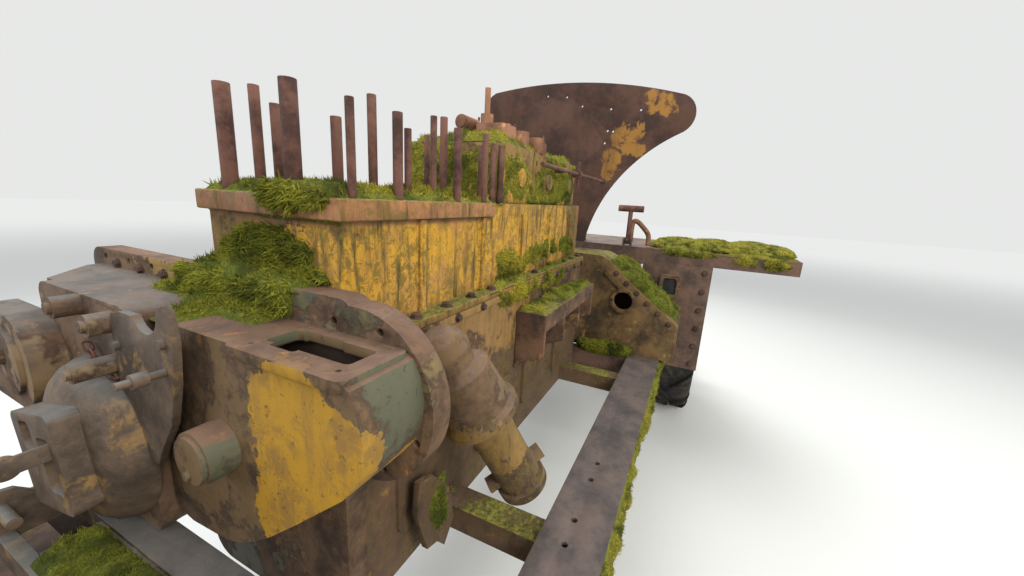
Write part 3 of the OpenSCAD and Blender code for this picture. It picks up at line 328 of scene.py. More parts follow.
def axes_of(vector):
    """X, Y and Z of a vector."""
    split = shader(vector.tree, "ShaderNodeSeparateXYZ", {0: vector}).socket.node
    return [Value(socket) for socket in split.outputs]


def blend(factor, a, b, mode="MIX"):
    """One colour Mix node's result: a where the factor is 0, b where it is 1."""
    return shader(factor.tree, "ShaderNodeMix", {0: factor, 6: a, 7: b}, 2, data_type="RGBA",
                  blend_type=mode, clamp_factor=True)


def noise(where, scale, detail, rough, distort=0.0):
    """One Noise Texture's value."""
    return shader(where.tree, "ShaderNodeTexNoise", {"Vector": where, "Scale": scale, "Detail": detail,
                                                     "Roughness": rough, "Distortion": distort})


def nearness(where, spots):
    """Share from 0 to 1 of the nearest spot: 1 inside a third of its size, 0 beyond it."""
    return reduce(Value.larger, [vector_maths("DISTANCE", where, place, output=1).step(size, size * 0.35)
                                 for place, size in spots])


def facing(where, axis=UP):
    """Share from 0 to 1 of how far a face looks along an axis."""
    normal = shader(where.tree, "ShaderNodeNewGeometry", output="Normal")
    return vector_maths("DOT_PRODUCT", normal, axis, output=1).step(0.45, 0.8)


def seen_by(tree, *rays):
    """1 for the named kinds of ray and 0 for the others."""
    path = tree.nodes.new("ShaderNodeLightPath").outputs
    return reduce(Value.larger, [Value(path[ray]) for ray in rays])


# Shader groups that the finishes share

def new_group(name, inputs, outputs):
    """Empty shader group with a Vector and more inputs; gives their values and the output sockets."""
    tree = GROUPS[name] = bpy.data.node_groups.new(name, "ShaderNodeTree")
    kinds = {type(None): "NodeSocketVector", float: "NodeSocketFloat", tuple: "NodeSocketColor"}
    for label, value in {"Vector": None, **inputs}.items():
        socket = tree.interface.new_socket(label, in_out="INPUT", socket_type=kinds[type(value)])
        if value is not None:
            socket.default_value = value if isinstance(value, float) else (*value, 1.0)
    for label in outputs:
        kind = kinds[tuple if label == "Color" else float]
        tree.interface.new_socket(label, in_out="OUTPUT", socket_type=kind)
    given = {socket.name: Value(socket) for socket in tree.nodes.new("NodeGroupInput").outputs}
    return given, tree.nodes.new("NodeGroupOutput").inputs


def group(name, where, **inputs):
    """Places a shared group in a material, fills its inputs, and gives its outputs."""
    made = shader(where.tree, "ShaderNodeGroup", {"Vector": where, **inputs}, node_tree=GROUPS[name])
    return {socket.name: Value(socket) for socket in made.socket.node.outputs}


def group_rust_tones():
    """Brown rust in three tones: broad clouds of dark and middle rust with blooms of bright rust."""
    inputs = {"Scale": 6.0, "Dark": (0.05, 0.03, 0.02), "Middle": (0.2, 0.1, 0.05),
              "Bright": (0.4, 0.18, 0.05), "Bloom": 0.5}
    given, out = new_group("Rust tones", inputs, ["Color", "Mask"])
    where, scale = given["Vector"], given["Scale"]
    broad = noise(where, scale, 8, 0.62)
    fine = noise(where, scale * 7.0, 5, 0.7)
    clouds = (broad + fine * 0.35).step(0.5, 0.82)
    bloom = noise(where, scale * 2.3, 7, 0.66, 0.4)
    level = 0.95 - given["Bloom"] * 0.5
    mask = (bloom + fine * 0.2).step(level, level + 0.12)
    fill(out["Color"], blend(mask, blend(clouds, given["Dark"], given["Middle"]), given["Bright"]))
    fill(out["Mask"], mask)


def group_flaking():
    """Paint that has flaked away: ragged islands whose share is Cover, with a thin raised rim."""
    given, out = new_group("Flaking", {"Scale": 4.0, "Cover": 0.6}, ["Mask", "Rim"])
    where, scale = given["Vector"], given["Scale"]
    field = noise(where, scale, 9, 0.58, 0.35) * 0.8 + noise(where, scale * 9.0, 4, 0.6) * 0.2
    level = 0.72 - given["Cover"] * 0.44
    fill(out["Mask"], field.step(level, level + 0.018))
    fill(out["Rim"], (field.step(level - 0.03, level) - field.step(level + 0.012, level + 0.05)).clamped())


def group_streaks():
    """Rain streaks: noise drawn out along Z, so stains run down upright faces."""
    given, out = new_group("Streaks", {"Scale": 9.0}, ["Mask"])
    drawn = vector_maths("MULTIPLY", given["Vector"], (1.0, 1.0, 0.12))
    fill(out["Mask"], noise(drawn, given["Scale"], 6, 0.7).step(0.45, 0.75))


def group_moss_film():
    """Thin moss on faces that look up, and in blotches on the rest: mask and green tones."""
    given, out = new_group("Moss film", {"Amount": 0.4, "Side": 0.1}, ["Color", "Mask"])
    where = given["Vector"]
    upward = axes_of(shader(where.tree, "ShaderNodeNewGeometry", output="Normal"))[2].step(0.2, 0.85)
    field = noise(where, 5.0, 9, 0.65) * 0.7 + noise(where, 70.0, 5, 0.7) * 0.3
    level = 0.78 - (upward * given["Amount"] + given["Side"]) * 0.5
    fill(out["Mask"], field.step(level, level + 0.07))
    tint = noise(where, 60.0, 6, 0.75).step(0.35, 0.65)
    fill(out["Color"], blend(tint, (0.05, 0.05, 0.011), (0.22, 0.2, 0.028)))


def group_cast_grain():
    """Height of a sand-cast, rust-pitted face: fine grain, pits and slow waves."""
    given, out = new_group("Cast grain", {"Pitting": 0.5}, ["Height"])
    where = given["Vector"]
    cells = shader(where.tree, "ShaderNodeTexVoronoi", {"Vector": where, "Scale": 90.0})
    pitted = cells.step(0.0, 0.35) * given["Pitting"]
    grain, waves = noise(where, 260.0, 3, 0.6), noise(where, 14.0, 3, 0.5)
    fill(out["Height"], grain * 0.35 + pitted * 0.5 + waves * 1.2)


# Finishes

RUST_DARK = (0.045, 0.026, 0.018)
RUST_MIDDLE = (0.155, 0.083, 0.045)
RUST_BRIGHT = (0.36, 0.15, 0.045)


def new_material(name, specular=0.35):
    """Empty material; gives its shader's inputs and its Object coordinates."""
    material = FINISH[name] = bpy.data.materials.new(name)
    material.use_nodes = True
    bsdf = material.node_tree.nodes["Principled BSDF"].inputs
    fill(bsdf["Specular IOR Level"], specular)
    return bsdf, shader(material.node_tree, "ShaderNodeTexCoord", output="Object")


def set_face(bsdf, colour, rough, height, distance):
    """Feeds colour, roughness and the height of a bump into a material's shader."""
    fill(bsdf["Base Color"], colour)
    fill(bsdf["Roughness"], rough)
    fill(bsdf["Normal"], shader(height.tree, "ShaderNodeBump", {"Height": height, "Distance": distance,
                                                                "Strength": 1.0}))


def rusty_finish(name, dark=RUST_DARK, middle=RUST_MIDDLE, bright=RUST_BRIGHT, bloom=0.4, moss=0.35,
                 side=0.08, scale=6.0, rough=0.85, metal=0.0, pits=0.8, spots=(), lid=None):
    """Bare rusted iron with streaks, a film of moss and a pitted face; rust blooms round the spots, and
    a lid colour tints the faces that look up, which on the worn iron is a blue-grey painted sky sheen."""
    bsdf, where = new_material(name)
    if spots:
        bloom = nearness(where, spots) * 0.62 + bloom
    tones = group("Rust tones", where, Scale=scale, Dark=dark, Middle=middle, Bright=bright,
                  Bloom=bloom)["Color"]
    if lid:
        tones = blend(facing(where) * 0.6, tones, lid)
    wet = blend(group("Streaks", where)["Mask"] * 0.45, tones, dark)
    film = group("Moss film", where, Amount=moss, Side=side)
    height = group("Cast grain", where, Pitting=pits)["Height"] + film["Mask"] * 2.0
    worn = (noise(where, 30.0, 4, 0.6) * 0.25 + (rough - 0.15)).clamped()
    fill(bsdf["Metallic"], metal)
    set_face(bsdf, blend(film["Mask"], wet, film["Color"]), worn, height, 0.0012)


def painted_finish(name, paint, faded, cover=0.55, spots=(), moss=0.3, side=0.1, bright=RUST_BRIGHT,
                   bloom=0.5, streak=0.5, scale=3.2, middle=RUST_MIDDLE, lid=None, veins=0.0, lip=None,
                   foot=None, turned=None, hollow=None, grime=(), wear=None):
    """Old paint over rust: sound round the spots, faded and flaked away elsewhere.

    A lid colour tints the faces that look up: brown on most finishes, and blue-grey on the case paint as a
    painted sky sheen. Veins of wet green run down the sides and gather at the grime spots, lip, foot and
    hollow are as in the functions below (the hollow darkening is painted shade), turned (axis, colour,
    cover) gives the faces that look along the axis more of another faded colour, which on the gearbox is
    chalked paint partly darkened as painted shade, and wear is the colour of the patches where the sound
    paint has thinned."""
    bsdf, where = new_material(name, 0.4)
    rust = group("Rust tones", where, Scale=7.0, Dark=RUST_DARK, Middle=middle, Bright=bright,
                 Bloom=bloom)["Color"]
    if spots:
        broad, fine = noise(where, 8.0, 9, 0.62).step(0.3, 0.7), noise(where, 38.0, 7, 0.72).step(0.3, 0.7)
        strong = (nearness(where, spots) + (broad * 0.42 + fine * 0.3)).step(0.72, 0.8)
        cover = (strong * 0.45 + cover).clamped()
    else:
        strong = noise(where, 2.1, 4, 0.6).step(0.42, 0.6)
    tint = noise(where, 24.0, 6, 0.65)
    old = blend(tint, faded, [0.62 * c for c in faded])
    # Another faded colour on the faces that look along an axis; on the gearbox it is chalked paint partly
    # darkened as painted shade.
    if turned:
        axis, colour, more = turned
        aside = facing(where, axis)
        cover = (aside * more + cover).clamped()
        old = blend(aside, old, colour)
    flakes = group("Flaking", where, Scale=scale, Cover=cover)
    coat = blend(strong, old, paint)
    if wear:
        coat = blend(noise(where, 9.0, 9, 0.74, 0.6).step(0.47, 0.6) * strong * 0.75, coat, wear)
        coat = blend(noise(where, 85.0, 4, 0.65).step(0.6, 0.66) * 0.6, coat, RUST_DARK)
    coat = blend(tint.step(0.5, 0.8) * 0.35, coat, rust)
    coat = blend(group("Streaks", where, Scale=22.0)["Mask"] * streak, coat, middle)
    surface = blend(flakes["Mask"], rust, coat)
    surface = blend(flakes["Rim"] * 0.55, surface, RUST_DARK)
    if lip:
        surface = brown_lip(where, surface, tint, rust, *lip)
    if foot:
        surface = brown_foot(where, surface, tint, rust, *foot)
    if lid:
        surface = blend(facing(where) * 0.85, surface, blend(tint, lid, rust))
    if veins:
        surface = wet_veins(where, surface, veins, grime)
    # Painted shade inside the hollow's box.
    if hollow:
        surface = painted_hollow_shade(where, surface, tint, *hollow)
    film = group("Moss film", where, Amount=moss, Side=side)
    height = group("Cast grain", where, Pitting=0.5)["Height"] + flakes["Mask"] * 0.7 + film["Mask"] * 2.0
    set_face(bsdf, blend(film["Mask"], surface, film["Color"]), 0.86 - flakes["Mask"] * 0.2, height, 0.001)


def brown_lip(where, surface, tint, rust, edge, end, colour):
    """Browns what lies above the edge's height and behind the end along x."""
    x, _, z = axes_of(where)
    over = z.step(edge - 0.012, edge + 0.004) * x.step(end + 0.02, end - 0.02)
    return blend(over * 0.88, surface, blend(tint * 0.8, colour, rust))


def brown_foot(where, surface, tint, rust, edge, colour, spread):
    """Browns what lies below the edge's height, give or take the spread."""
    shaken = axes_of(where)[2] + (noise(where, 7.0, 9, 0.7) - 0.5) * (6.0 * spread)
    under = shaken.step(edge + 0.004 + spread, edge - 0.002 - spread)
    return blend(under * 0.9, surface, blend(tint.step(0.4, 0.62), colour, rust))


def wet_veins(where, surface, strength, grime):
    """Lines of wet green and a brown crust, in broad areas and round the grime spots."""
    gate = noise(where, 3.1, 6, 0.65).step(0.36, 0.6)
    if grime:
        gate = gate.larger(nearness(where, grime))
    lines = group("Streaks", where, Scale=32.0)["Mask"] * gate * (strength * 1.4)
    surface = blend(lines.clamped(), surface, (0.05, 0.04, 0.01))
    crust = noise(where, 42.0, 8, 0.78, 0.8).step(0.46, 0.57) * gate * (0.85 * min(1.0, strength))
    return blend(crust, surface, (0.15, 0.105, 0.016))


def painted_hollow_shade(where, surface, tint, centre, half):
    """Painted shade: darkens what lies in a box, given by its centre and half sizes, as the shade inside an
    opening.
    """
    away = vector_maths("DIVIDE", vector_maths("SUBTRACT", where, centre), half)
    x, y, z = axes_of(vector_maths("ABSOLUTE", away))
    inside = x.larger(y).larger(z).step(1.02, 1.0)
    return blend(inside, surface, blend(tint, (0.02, 0.014, 0.01), (0.05, 0.03, 0.02)))


def moss_finish(name, dark, middle, bright, shade):
    """Moss: clumps of dark and bright green with dead brown tips, and painted shade round the shade spots."""
    bsdf, where = new_material(name, 0.15)
    clump, tips = noise(where, 11.0, 6, 0.6), noise(where, 130.0, 4, 0.7)
    colour = blend(clump.step(0.36, 0.58), dark, middle)
    colour = blend(tips.step(0.42, 0.68) * clump.step(0.35, 0.6), colour, bright)
    colour = blend(noise(where, 23.0, 5, 0.7).step(0.62, 0.74) * 0.6, colour, (0.13, 0.08, 0.025))
    # Painted shade: darkens the moss round the shade spots.
    colour = blend(nearness(where, shade) * 0.8, colour, (0.42, 0.56, 0.5), "MULTIPLY")
    fill(bsdf["Sheen Weight"], 0.25)
    fill(bsdf["Sheen Tint"], (0.5, 0.6, 0.1))
    set_face(bsdf, colour, 0.95, tips + noise(where, 420.0, 3, 0.7), 0.004)


def rubber_finish(name):
    """Weathered tyre rubber: greyed black with dust in the low places and fine cracks."""
    bsdf, where = new_material(name, 0.25)
    dust = noise(where, 7.0, 8, 0.65).step(0.4, 0.7)
    colour = blend(dust, (0.018, 0.018, 0.017), (0.075, 0.065, 0.05))
    film = group("Moss film", where, Amount=0.25, Side=0.04)
    cracks = shader(where.tree, "ShaderNodeTexVoronoi", {"Vector": where, "Scale": 70.0},
                    feature="DISTANCE_TO_EDGE")
    height = cracks.step(0.0, 0.06) + noise(where, 120.0, 4, 0.6)
    set_face(bsdf, blend(film["Mask"], colour, film["Color"]), 0.88, height, 0.0008)


def stage_finish(name, colour, sky):
    """Matt floor that fades into the backdrop colour far away, for camera and mirror rays only."""
    bsdf, where = new_material(name, 0.1)
    seen = seen_by(where.tree, "Is Camera Ray", "Is Glossy Ray")
    far = vector_maths("LENGTH", where, output=1).step(5.0, 26.0) * seen
    fill(bsdf["Base Color"], blend(far, colour, (0.0, 0.0, 0.0)))
    fill(bsdf["Roughness"], 0.9)
    fill(bsdf["Emission Color"], sky)
    fill(bsdf["Emission Strength"], (seen * 0.1).larger(far))


# Sizes and colours that a user would change

class SkidderStage(bpy.types.PropertyGroup):
    """Camera, floor and light."""
    eye: FloatVectorProperty(name="Camera place", description="Where the camera stands", subtype="XYZ",
                             unit="LENGTH", default=(-1.9, -0.97, 2.0))
    lens: FloatProperty(name="Lens", description="Focal length for a 36 mm sensor", default=13.68)
    floor_size: FloatProperty(name="Floor size", description="Side of the floor", unit="LENGTH", default=90.0)
    floor_colour: FloatVectorProperty(name="Floor colour", description="Colour of floor and backdrop",
                                      subtype="COLOR", default=(0.62, 0.63, 0.61))
    sky: FloatVectorProperty(name="Backdrop", description="Colour that the camera sees behind the floor",
                             subtype="COLOR", default=(0.8, 0.81, 0.8))


class SkidderPaint(bpy.types.PropertyGroup):
    """Colours of the finishes."""
    bright_yellow: FloatVectorProperty(name="Bright yellow", description="Paint where it is still sound",
                                       subtype="COLOR", default=(0.58, 0.31, 0.022))
    faded_yellow: FloatVectorProperty(name="Faded yellow", description="Weathered paint",
                                      subtype="COLOR", default=(0.3, 0.17, 0.055))
    # Grey green is chalked paint, partly darkened as painted shade for the shaded side of the gearbox.
    shaded_grey_green: FloatVectorProperty(name="Grey green", description="Chalked paint in the shade",
                                    subtype="COLOR", default=(0.088, 0.092, 0.054))
    iron_brown: FloatVectorProperty(name="Iron brown", description="Worn casting",
                                    subtype="COLOR", default=(0.155, 0.108, 0.075))


class SkidderMoss(bpy.types.PropertyGroup):
    """Moss cushions and their shoots."""
    cell: FloatProperty(name="Cell", description="Distance between the points of a cushion",
                        unit="LENGTH", default=0.012)
    shoot: FloatProperty(name="Shoot", description="Length of a moss shoot", unit="LENGTH", default=0.013)
    density: IntProperty(name="Density", description="Shoots in a square metre", default=20000)
    seed: IntProperty(name="Seed", description="Start of the random draws", default=11)


class SkidderBolts(bpy.types.PropertyGroup):
    """Bolt heads."""
    head: FloatProperty(name="Head", description="Radius of a common bolt head", unit="LENGTH", default=0.014)
    nut: FloatProperty(name="Wheel nut", description="Radius of a wheel nut", unit="LENGTH", default=0.019)


class SkidderTyres(bpy.types.PropertyGroup):
    """Tyres."""
    steps: IntProperty(name="Steps", description="Steps round the carcass", default=96)
    lug_count: IntProperty(name="Lugs", description="Lugs on each side of a tyre", default=12)


# Lamps: name, place, target, size, power, colour
LAMPS = [("Key", (-3.5, -6.5, 6.0), (0.0, 0.0, 1.4), 3.5, 520, (1.0, 0.95, 0.86)),
         ("Fill", (-6.0, 4.0, 5.0), (0.0, 0.0, 1.2), 5.0, 300, (0.92, 0.96, 1.0)),
         ("Top", (1.5, 0.5, 8.0), (0.5, 0.0, 1.0), 6.0, 420, (1.0, 1.0, 1.0)),
         ("Far", (7.0, 3.0, 5.0), (0.5, 0.0, 1.5), 4.0, 260, (1.0, 0.98, 0.94))]


class SKIDDER_OT_stage(bpy.types.Operator):
    """Makes the camera, the pale floor, the world and the lamps"""
    bl_idname = "skidder.stage"
    bl_label = "Stage"

    def execute(self, context):
        scene, stage = context.scene, context.scene.skidder_stage
        camera = placed("Camera", bpy.data.cameras.new("Camera"))
        camera.data.sensor_width = 36.0
        camera.data.lens = stage.lens
        camera.data.clip_start = 0.02
        right, up = (0.42821, -0.90196, 0.05563), (0.17766, 0.14438, 0.97344)
        ahead = (0.88604, 0.40696, -0.22207)
        camera.rotation_mode = "QUATERNION"
        camera.rotation_quaternion = mathutils.Matrix(
            [(r, u, -a) for r, u, a in zip(right, up, ahead)]).to_quaternion()
        camera.location = stage.eye
        scene.camera = camera
        scene.view_settings.view_transform = "Standard"
        half = stage.floor_size / 2
        mesh = bpy.data.meshes.new("Floor")
        mesh.from_pydata([(-half, -half, 0), (half, -half, 0), (half, half, 0), (-half, half, 0)], [],
                         [(0, 1, 2, 3)])
        stage_finish("floor", stage.floor_colour, stage.sky)
        mesh.materials.append(FINISH["floor"])
        placed("Floor", mesh)
        self.light_world(scene, stage.sky)
        for name, place, target, size, power, tint in LAMPS:
            lamp = placed(name, bpy.data.lights.new(name, "AREA"))
            lamp.data.size, lamp.data.energy, lamp.data.color = size, power, tint
            lamp.location = place
            aim = mathutils.Vector(target) - mathutils.Vector(place)
            lamp.rotation_euler = aim.to_track_quat("-Z", "Y").to_euler()
        return {"FINISHED"}

    def light_world(self, scene, colour):
        """Even white world light; camera, mirror and glass rays see the pale backdrop colour."""
        scene.world = bpy.data.worlds.new("Studio")
        scene.world.use_nodes = True
        tree = scene.world.node_tree
        seen = seen_by(tree, "Is Camera Ray", "Is Glossy Ray", "Is Transmission Ray")
        fill(tree.nodes["Background"].inputs[0], blend(seen, (0.62, 0.64, 0.66), colour))


NODE_FINISH = {
    "cylinder_block": "block paint", "cylinder_heads": "block paint", "side_shelf": "shelf paint",
    "gearbox": "gearbox paint", "chain_case": "case paint", "flange_plate": "ring paint",
    "case_nose": "worn iron", "crankcase": "crank paint", "coolant_pump": "pump paint",
    "rail_left": "rail rust", "rail_right": "rail rust", "front_housing": "housing rust",
    "housing_wall": "housing rust", "control_shaft": "stud rust", "head_studs": "stud rust",
    "clutch_lever": "stud rust", "case_cradle": "worn iron", "bracket_plate": "worn iron",
    "moss_mats": "moss cushion",
}
SLOT_FINISH = {
    "rusty_frame": "frame rust", "dark_rust_plate": "dark plate", "faded_paint": "frame paint",
    "orange_rust": "orange rust", "worn_iron": "worn iron", "old_tyre": "tyre rubber",
    "moss": "moss cushion", "black_rim": "black grip", "bright_rod": "dull rod",
}


class SKIDDER_OT_finishes(bpy.types.Operator):
    """Builds the shared shader groups and materials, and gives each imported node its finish"""
    bl_idname = "skidder.finishes"
    bl_label = "Finishes"

    def execute(self, context):
        for build in (group_rust_tones, group_flaking, group_streaks, group_moss_film, group_cast_grain):
            build()
        colours = context.scene.skidder_paint
        self.rust(tuple(colours.iron_brown))
        self.paint(*(tuple(c) for c in (colours.bright_yellow, colours.faded_yellow, colours.shaded_grey_green)))
        self.moss()
        rubber_finish("tyre rubber")
        for node, piece in frame["nodes"].items():
            finish = "rim paint" if node.startswith("rim_") else SLOT_FINISH[SLOTS[node]]
            piece.data.materials.clear()
            piece.data.materials.append(FINISH[NODE_FINISH.get(node, finish)])
        return {"FINISHED"}

    def rust(self, iron):
        """Finishes of bare metal: dark, middle and bright tone, then what differs."""
        shield = size_of("shield_plate")[0][0]
        rusty_finish("frame rust", (0.05, 0.034, 0.026), (0.145, 0.082, 0.056), bloom=0.3, rough=0.75)
        rusty_finish("rail rust", (0.05, 0.045, 0.043), (0.125, 0.092, 0.08), (0.26, 0.14, 0.08),
                     bloom=0.35, moss=0.08, side=0.06, rough=0.7)
        rusty_finish("housing rust", (0.05, 0.032, 0.016), (0.19, 0.115, 0.045), (0.32, 0.19, 0.045),
                     bloom=0.55, moss=0.5, side=0.12)
        rusty_finish("dark plate", (0.035, 0.018, 0.013), (0.085, 0.04, 0.026), (0.28, 0.135, 0.026),
                     bloom=0.34, moss=0.1, side=0.0, scale=4.0,
                     spots=[((shield, y, z), size) for y, z, size in (
                         (-0.56, 2.755, 0.14), (-0.65, 2.72, 0.12), (-0.4, 2.5, 0.2), (-0.47, 2.43, 0.11),
                         (-0.29, 2.36, 0.12), (-0.28, 2.26, 0.12))])
        rusty_finish("stud rust", (0.05, 0.023, 0.018), (0.17, 0.078, 0.056), (0.33, 0.16, 0.09),
                     bloom=0.3, moss=0.1, side=0.0, scale=9.0)
        rusty_finish("bolt rust", (0.03, 0.019, 0.015), (0.09, 0.05, 0.034), (0.2, 0.1, 0.05),
                     bloom=0.3, moss=0.25, side=0.05, scale=9.0)
        rusty_finish("orange rust", (0.13, 0.06, 0.035), (0.3, 0.145, 0.08), (0.5, 0.26, 0.12),
                     bloom=0.5, moss=0.3)
        # The worn iron's lid colour is a painted sky sheen: a blue-grey tint on the faces that look up.
        rusty_finish("worn iron", (0.05, 0.036, 0.026), iron, (0.25, 0.15, 0.055), bloom=0.6, moss=0.1,
                     side=0.0, scale=5.0, rough=0.68, metal=0.05, lid=(0.135, 0.145, 0.145))
        rusty_finish("black grip", (0.01, 0.01, 0.01), (0.03, 0.03, 0.03), (0.08, 0.07, 0.06),
                     bloom=0.2, moss=0.05, side=0.0, rough=0.7)
        rusty_finish("dull rod", (0.12, 0.1, 0.09), (0.4, 0.37, 0.34), (0.3, 0.16, 0.08),
                     bloom=0.3, moss=0.0, side=0.0, rough=0.4, metal=0.8, pits=0.3)

    def paint(self, yellow, faded, green):
        """Finishes of old paint: sound and faded colour, then what differs."""
        block_top = size_of("cylinder_block")[1][2]
        flange = 0.066
        near = size_of("gearbox")[0][0] + flange
        # Plum browns the tops; the blue-grey lid colour is a painted sky sheen on the faces that look up.
        plum, sky_sheen = (0.16, 0.088, 0.066), (0.135, 0.145, 0.145)
        painted_finish("block paint", yellow, faded, cover=0.5, moss=0.7, side=0.2, streak=0.85,
                       bright=(0.46, 0.2, 0.04), bloom=0.6, scale=2.6, veins=1.2, middle=(0.26, 0.12, 0.04),
                       lip=(block_top - 0.062, -0.56, (0.36, 0.155, 0.085)),
                       foot=(1.66, (0.3, 0.15, 0.04), 0.0), wear=(0.4, 0.205, 0.06),
                       grime=[((x, -0.25, z), size) for x, z, size in (
                           (-1.16, 1.76, 0.4), (0.25, 1.85, 0.85), (-0.75, 1.62, 0.3), (-0.35, 1.62, 0.3))],
                       spots=[((-1.1, -0.26, 1.82), 0.34), ((-0.78, -0.27, 1.86), 0.45),
                              ((-0.3, -0.27, 1.84), 0.42), ((-0.6, -0.27, 1.7), 0.4),
                              ((0.2, -0.27, 1.86), 0.3)])
        painted_finish("gearbox paint", (0.43, 0.235, 0.018), (0.19, 0.12, 0.055), cover=0.52, moss=0.08,
                       side=0.0, streak=0.5, scale=4.0, middle=(0.16, 0.1, 0.05), lid=plum,
                       # The faces that look to the right take the grey green, which is partly painted shade.
                       wear=(0.25, 0.14, 0.035), turned=(RIGHT, green, 0.06),
                       # The hollow is painted shade inside the gearbox's opening.
                       hollow=((-1.41, -0.32, 1.588), (0.07, 0.172, 0.09)),
                       spots=[((near, -0.35, 1.58), 0.17), ((near, -0.38, 1.45), 0.2),
                              ((near, -0.33, 1.36), 0.14), ((near, -0.46, 1.55), 0.13),
                              ((near + 0.07, -0.53, 1.4), 0.11), ((near + 0.14, -0.53, 1.45), 0.09)])
        painted_finish("ring paint", (0.3, 0.19, 0.05), green, cover=0.42, moss=0.1, side=0.02, streak=0.4,
                       middle=(0.16, 0.095, 0.05), scale=5.5, lid=plum)
        painted_finish("pump paint", (0.25, 0.14, 0.035), (0.19, 0.12, 0.065), cover=0.42, moss=0.12,
                       side=0.02, streak=0.7, middle=(0.15, 0.09, 0.05), lid=(0.19, 0.12, 0.1),
                       wear=(0.2, 0.12, 0.05), scale=5.0, veins=0.8, spots=[((-1.02, -0.5, 1.34), 0.19)])
        # The case paint's blue-grey lid is a painted sky sheen on its upper faces.
        painted_finish("case paint", (0.22, 0.145, 0.07), (0.15, 0.11, 0.075), cover=0.5, moss=0.1,
                       side=0.0, streak=0.4, middle=(0.15, 0.09, 0.055), lid=sky_sheen, bright=(0.36, 0.2, 0.07))
        painted_finish("shelf paint", faded, (0.12, 0.08, 0.045), cover=0.35, moss=0.5, side=0.15, streak=0.6)
        painted_finish("crank paint", faded, (0.13, 0.08, 0.045), cover=0.3, moss=0.5, side=0.14,
                       streak=0.7, middle=(0.14, 0.08, 0.045), veins=0.7, bright=(0.4, 0.2, 0.05),
                       foot=(1.36, (0.1, 0.06, 0.035), 0.05),
                       spots=[((-0.85, -0.31, 1.52), 0.4), ((-0.45, -0.31, 1.58), 0.3)])
        painted_finish("frame paint", yellow, faded, cover=0.5, side=0.05)
        painted_finish("rim paint", yellow, faded, cover=0.42, moss=0.1, side=0.0)

    def moss(self):
        """Cushions and shoots of moss, with painted shade darkening them by the engine and behind the
        housing.
        """
        shade = [((-1.32, 0.05, 1.72), 0.62), ((-1.6, 0.2, 1.12), 0.5), ((-1.05, -0.4, 1.05), 0.4),
                 ((0.5, -0.3, 1.6), 0.9), ((0.9, -0.7, 1.3), 0.8)]
        moss_finish("moss cushion", (0.04, 0.045, 0.009), (0.13, 0.125, 0.018), (0.32, 0.28, 0.035), shade)
        moss_finish("moss shoots", (0.09, 0.09, 0.014), (0.3, 0.26, 0.028), (0.64, 0.52, 0.065), shade)


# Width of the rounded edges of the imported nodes, in millimetres
SOFTENED = {
    "gearbox": 9, "chain_case": 10, "case_nose": 8, "flange_plate": 6, "cylinder_block": 5, "crankcase": 5,
    "cylinder_heads": 9, "rocker_gear": 5, "bracket_plate": 3, "side_shelf": 4, "coolant_pump": 3,
    "front_housing": 4, "housing_wall": 4, "bulkhead": 3, "deck": 3, "shield_plate": 4, "case_cradle": 3,
    "rail_left": 2, "rail_right": 2, "winch_frame": 5, "arch": 5, "blade": 4, "nose_frame": 4, "hitch": 4,
    "radiator": 4, "rear_axle": 5, "front_axle": 5, "fuel_tank": 4, "head_studs": 1.5,
}


class SKIDDER_OT_castings(bpy.types.Operator):
    """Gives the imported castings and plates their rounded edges"""
    bl_idname = "skidder.castings"
    bl_label = "Rounded castings"

    def execute(self, context):
        for node, width in SOFTENED.items():
            source = frame["nodes"][node]
            shape = bmesh.new()
            shape.from_mesh(source.data)
            bmesh.ops.remove_doubles(shape, verts=shape.verts, dist=2e-5)
            bmesh.ops.dissolve_limit(shape, angle_limit=math.radians(0.6), use_dissolve_boundaries=False,
                                     verts=shape.verts, edges=shape.edges)
            mesh = bpy.data.meshes.new(node + "_soft")
            shape.to_mesh(mesh)
            shape.free()
            mesh.materials.append(source.data.materials[0])
            piece = placed(node + "_soft", mesh)
            bevel = piece.modifiers.new("Edges", "BEVEL")
            bevel.width = width * MM
            bevel.segments = 2
            bevel.limit_method = "ANGLE"
            bevel.angle_limit = math.radians(28)
            bevel.harden_normals = True
            mesh.shade_smooth()
            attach(piece, body_of(node))
            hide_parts(node)
        return {"FINISHED"}


# Moss

def shoot_shape():
    """One moss shoot of length 1: a slim three-sided spike that leans to one side."""
    a = whole_turn(3)
    base = np.stack([np.cos(a), np.sin(a), np.zeros(3)], 1) * 0.12
    k = np.arange(3)
    sides = np.stack([k, (k + 1) % 3, np.full(3, 3)], 1)
    return np.concatenate([base, [[0.35, 0, 1.0]]]), [sides, np.array([[2, 1, 0]])]


def plant_shoots(name, places, outward, length, rng, droop=0.0):
    """Stands shoots on a cushion: each leans away from the outward direction by a random amount, and
    droop bends them all down."""
    lean = outward * 0.7 + rng.normal(0, 0.6, (len(places), 3)) + [0, 0, 0.1 - droop]
    turn = frame_along(lean, rng.uniform(0, 6.28, len(places)))
    shape = stamp(shoot_shape(), places, turn, length * rng.uniform(0.55, 1.3, len(places)))
    add_piece("shoots_" + name, *shape, "moss shoots")


